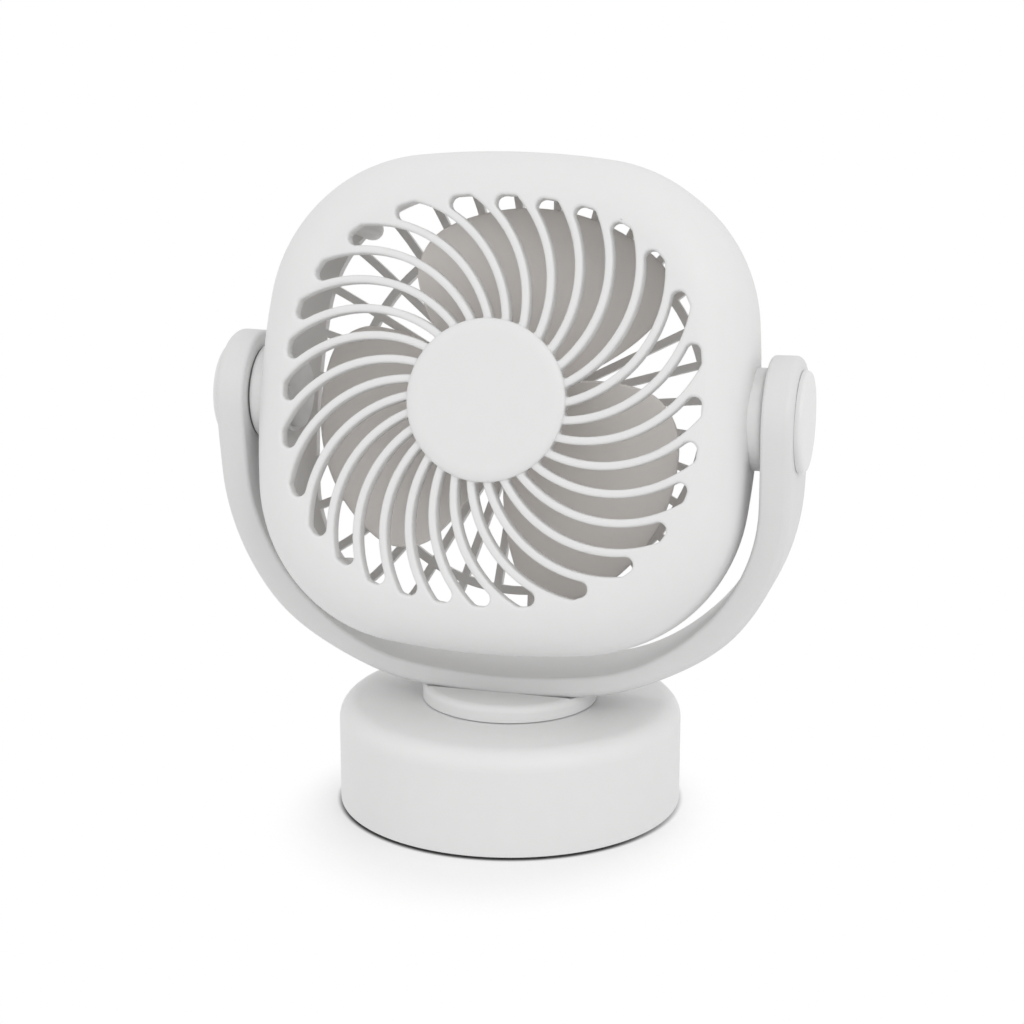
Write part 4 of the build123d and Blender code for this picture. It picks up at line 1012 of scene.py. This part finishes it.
for hand, side in ((-1, "left"), (1, "right")):
    node_name = side + "_pivot_boss"
    tool = mesh_of("envelope", turned(envelope), pivot_frame(hand))
    boss_mesh = carved(side + "_boss", nodes[node_name].data.copy(), [tool], "INTERSECT")
    boss_mesh.materials.clear()
    boss = new_piece(side + "_boss", boss_mesh, "head", white_shell, "white_shell", node_name)
    boss.data.set_sharp_from_angle(angle=math.radians(35))
    print(side, "boss mesh:", len(boss.data.vertices), "points")

# %% [markdown]
# ## The hub cap
#
# The round cap in the middle of the grille is flat, and its rim falls away in a soft roll
# about four millimetres wide that catches more light than the flat. A quarter of an ellipse
# draws that roll better than a quarter of a circle, and the rest of the cap is turned with it.

# %% A cap with a soft rim
CAP_RADIUS = box_mm("hub_cap")[1][0] - 0.4
CAP_BACK, CAP_FACE = 28.0, 30.0     # along the shaft from the pivot axis
ROLL_WIDE, ROLL_DEEP, ROLL_STEPS = 4.2, 1.7, 12
SPIGOT_RADIUS, SPIGOT_DEPTH = 20.0, 1.6
spigot_end = CAP_BACK - SPIGOT_DEPTH
roll = [math.radians(90 - 90 * k / ROLL_STEPS) for k in range(ROLL_STEPS + 1)]
cap_outline = [(0, CAP_FACE)]
cap_outline += [
    (CAP_RADIUS - ROLL_WIDE * (1 - math.cos(a)), CAP_FACE - ROLL_DEEP * (1 - math.sin(a)))
    for a in roll
]
cap_outline += [(CAP_RADIUS, CAP_BACK), (SPIGOT_RADIUS, CAP_BACK)]
cap_outline += [(SPIGOT_RADIUS, spigot_end), (0, spigot_end)]
cap_piece = new_piece(
    "soft_hub_cap",
    mesh_of("soft_hub_cap", turned(cap_outline, 128), IMPELLER_FRAME),
    "head",
    white_shell,
    "white_shell",
    "hub_cap",
)
cap_piece.data.set_sharp_from_angle(angle=math.radians(50))
print("hub cap mesh:", len(cap_piece.data.vertices), "points")

# %% [markdown]
# ## Softer ribs
#
# A moulded grille has no sharp edges: each rib is rounded where it meets a slot. The solid
# already has every rib in its true place, so drawing them again would gain nothing. Its copy
# loses the needless triangles and slivers that would trip a bevel, and a bevel modifier then
# rounds the edges that are left.

# %% Soft edges on the front grille
RIB_ROUND = 0.45
WELD, SLIVER = 0.002, 0.09          # points this close are one, edges this short go
NEARLY_FLAT = math.radians(0.6)


def clean_copy(name, source):
    """A copy of a solid's mesh without the triangles that its flat faces don't need."""
    work = bmesh.new()
    work.from_mesh(source)
    bmesh.ops.remove_doubles(work, verts=work.verts, dist=WELD * MM)
    bmesh.ops.dissolve_limit(
        work,
        angle_limit=NEARLY_FLAT,
        verts=work.verts,
        edges=work.edges,
        use_dissolve_boundaries=False,
    )
    bmesh.ops.dissolve_degenerate(work, dist=SLIVER * MM, edges=work.edges)
    made = bpy.data.meshes.new(name)
    work.to_mesh(made)
    work.free()
    return made


grille_mesh = clean_copy("front_grille", nodes["front_shell"].data)
grille = new_piece("front_grille", grille_mesh, "head", white_shell, "white_shell", "front_shell")
soft = grille.modifiers.new("soft_edges", "BEVEL")
soft.width = RIB_ROUND * MM
soft.segments = 3
soft.limit_method = "ANGLE"
soft.angle_limit = math.radians(50)
soft.use_clamp_overlap = True
soft.harden_normals = True
print("front grille:", len(grille.data.vertices), "points before the bevel")

# %% [markdown]
# ## The foot
#
# Below the drum a black ring of rubber keeps the fan from sliding. It is drawn out past the
# solid's own outer edge, so that its black rim adds painted shade to the dark line between the
# drum and the table, which is otherwise the shadow in the gap under the drum. A ring is only a
# small section spun about the fan's axis, so it is turned too, with a rounded edge on each side of
# its sole.

# %% Foot ring
FOOT_TOP = box_mm("foot_ring")[1][2]
# painted shade: the outer radius reaches past the solid's ring so that the black rubber shows in the
# gap under the drum, where there is mostly shadow
FOOT_INNER, FOOT_OUTER, FOOT_ROUND = 44.5, 52.0, 0.3
FOOT_STEPS = 4
foot_outline = [(FOOT_INNER, FOOT_TOP), (FOOT_INNER, FOOT_ROUND)]
foot_outline += corner(FOOT_INNER + FOOT_ROUND, FOOT_ROUND, FOOT_ROUND, 180, 270, FOOT_STEPS)
foot_outline += corner(FOOT_OUTER - FOOT_ROUND, FOOT_ROUND, FOOT_ROUND, 270, 360, FOOT_STEPS)
foot_outline += [(FOOT_OUTER, FOOT_TOP), (FOOT_INNER, FOOT_TOP)]
foot_piece = new_piece(
    "foot_rubber_ring",
    mesh_of("foot_rubber_ring", turned(foot_outline, 160)),
    "base",
    foot_rubber,
    "foot_rubber",
    "foot_ring",
)
foot_piece.data.set_sharp_from_angle(angle=math.radians(40))
print("foot ring mesh:", len(foot_piece.data.vertices), "points")
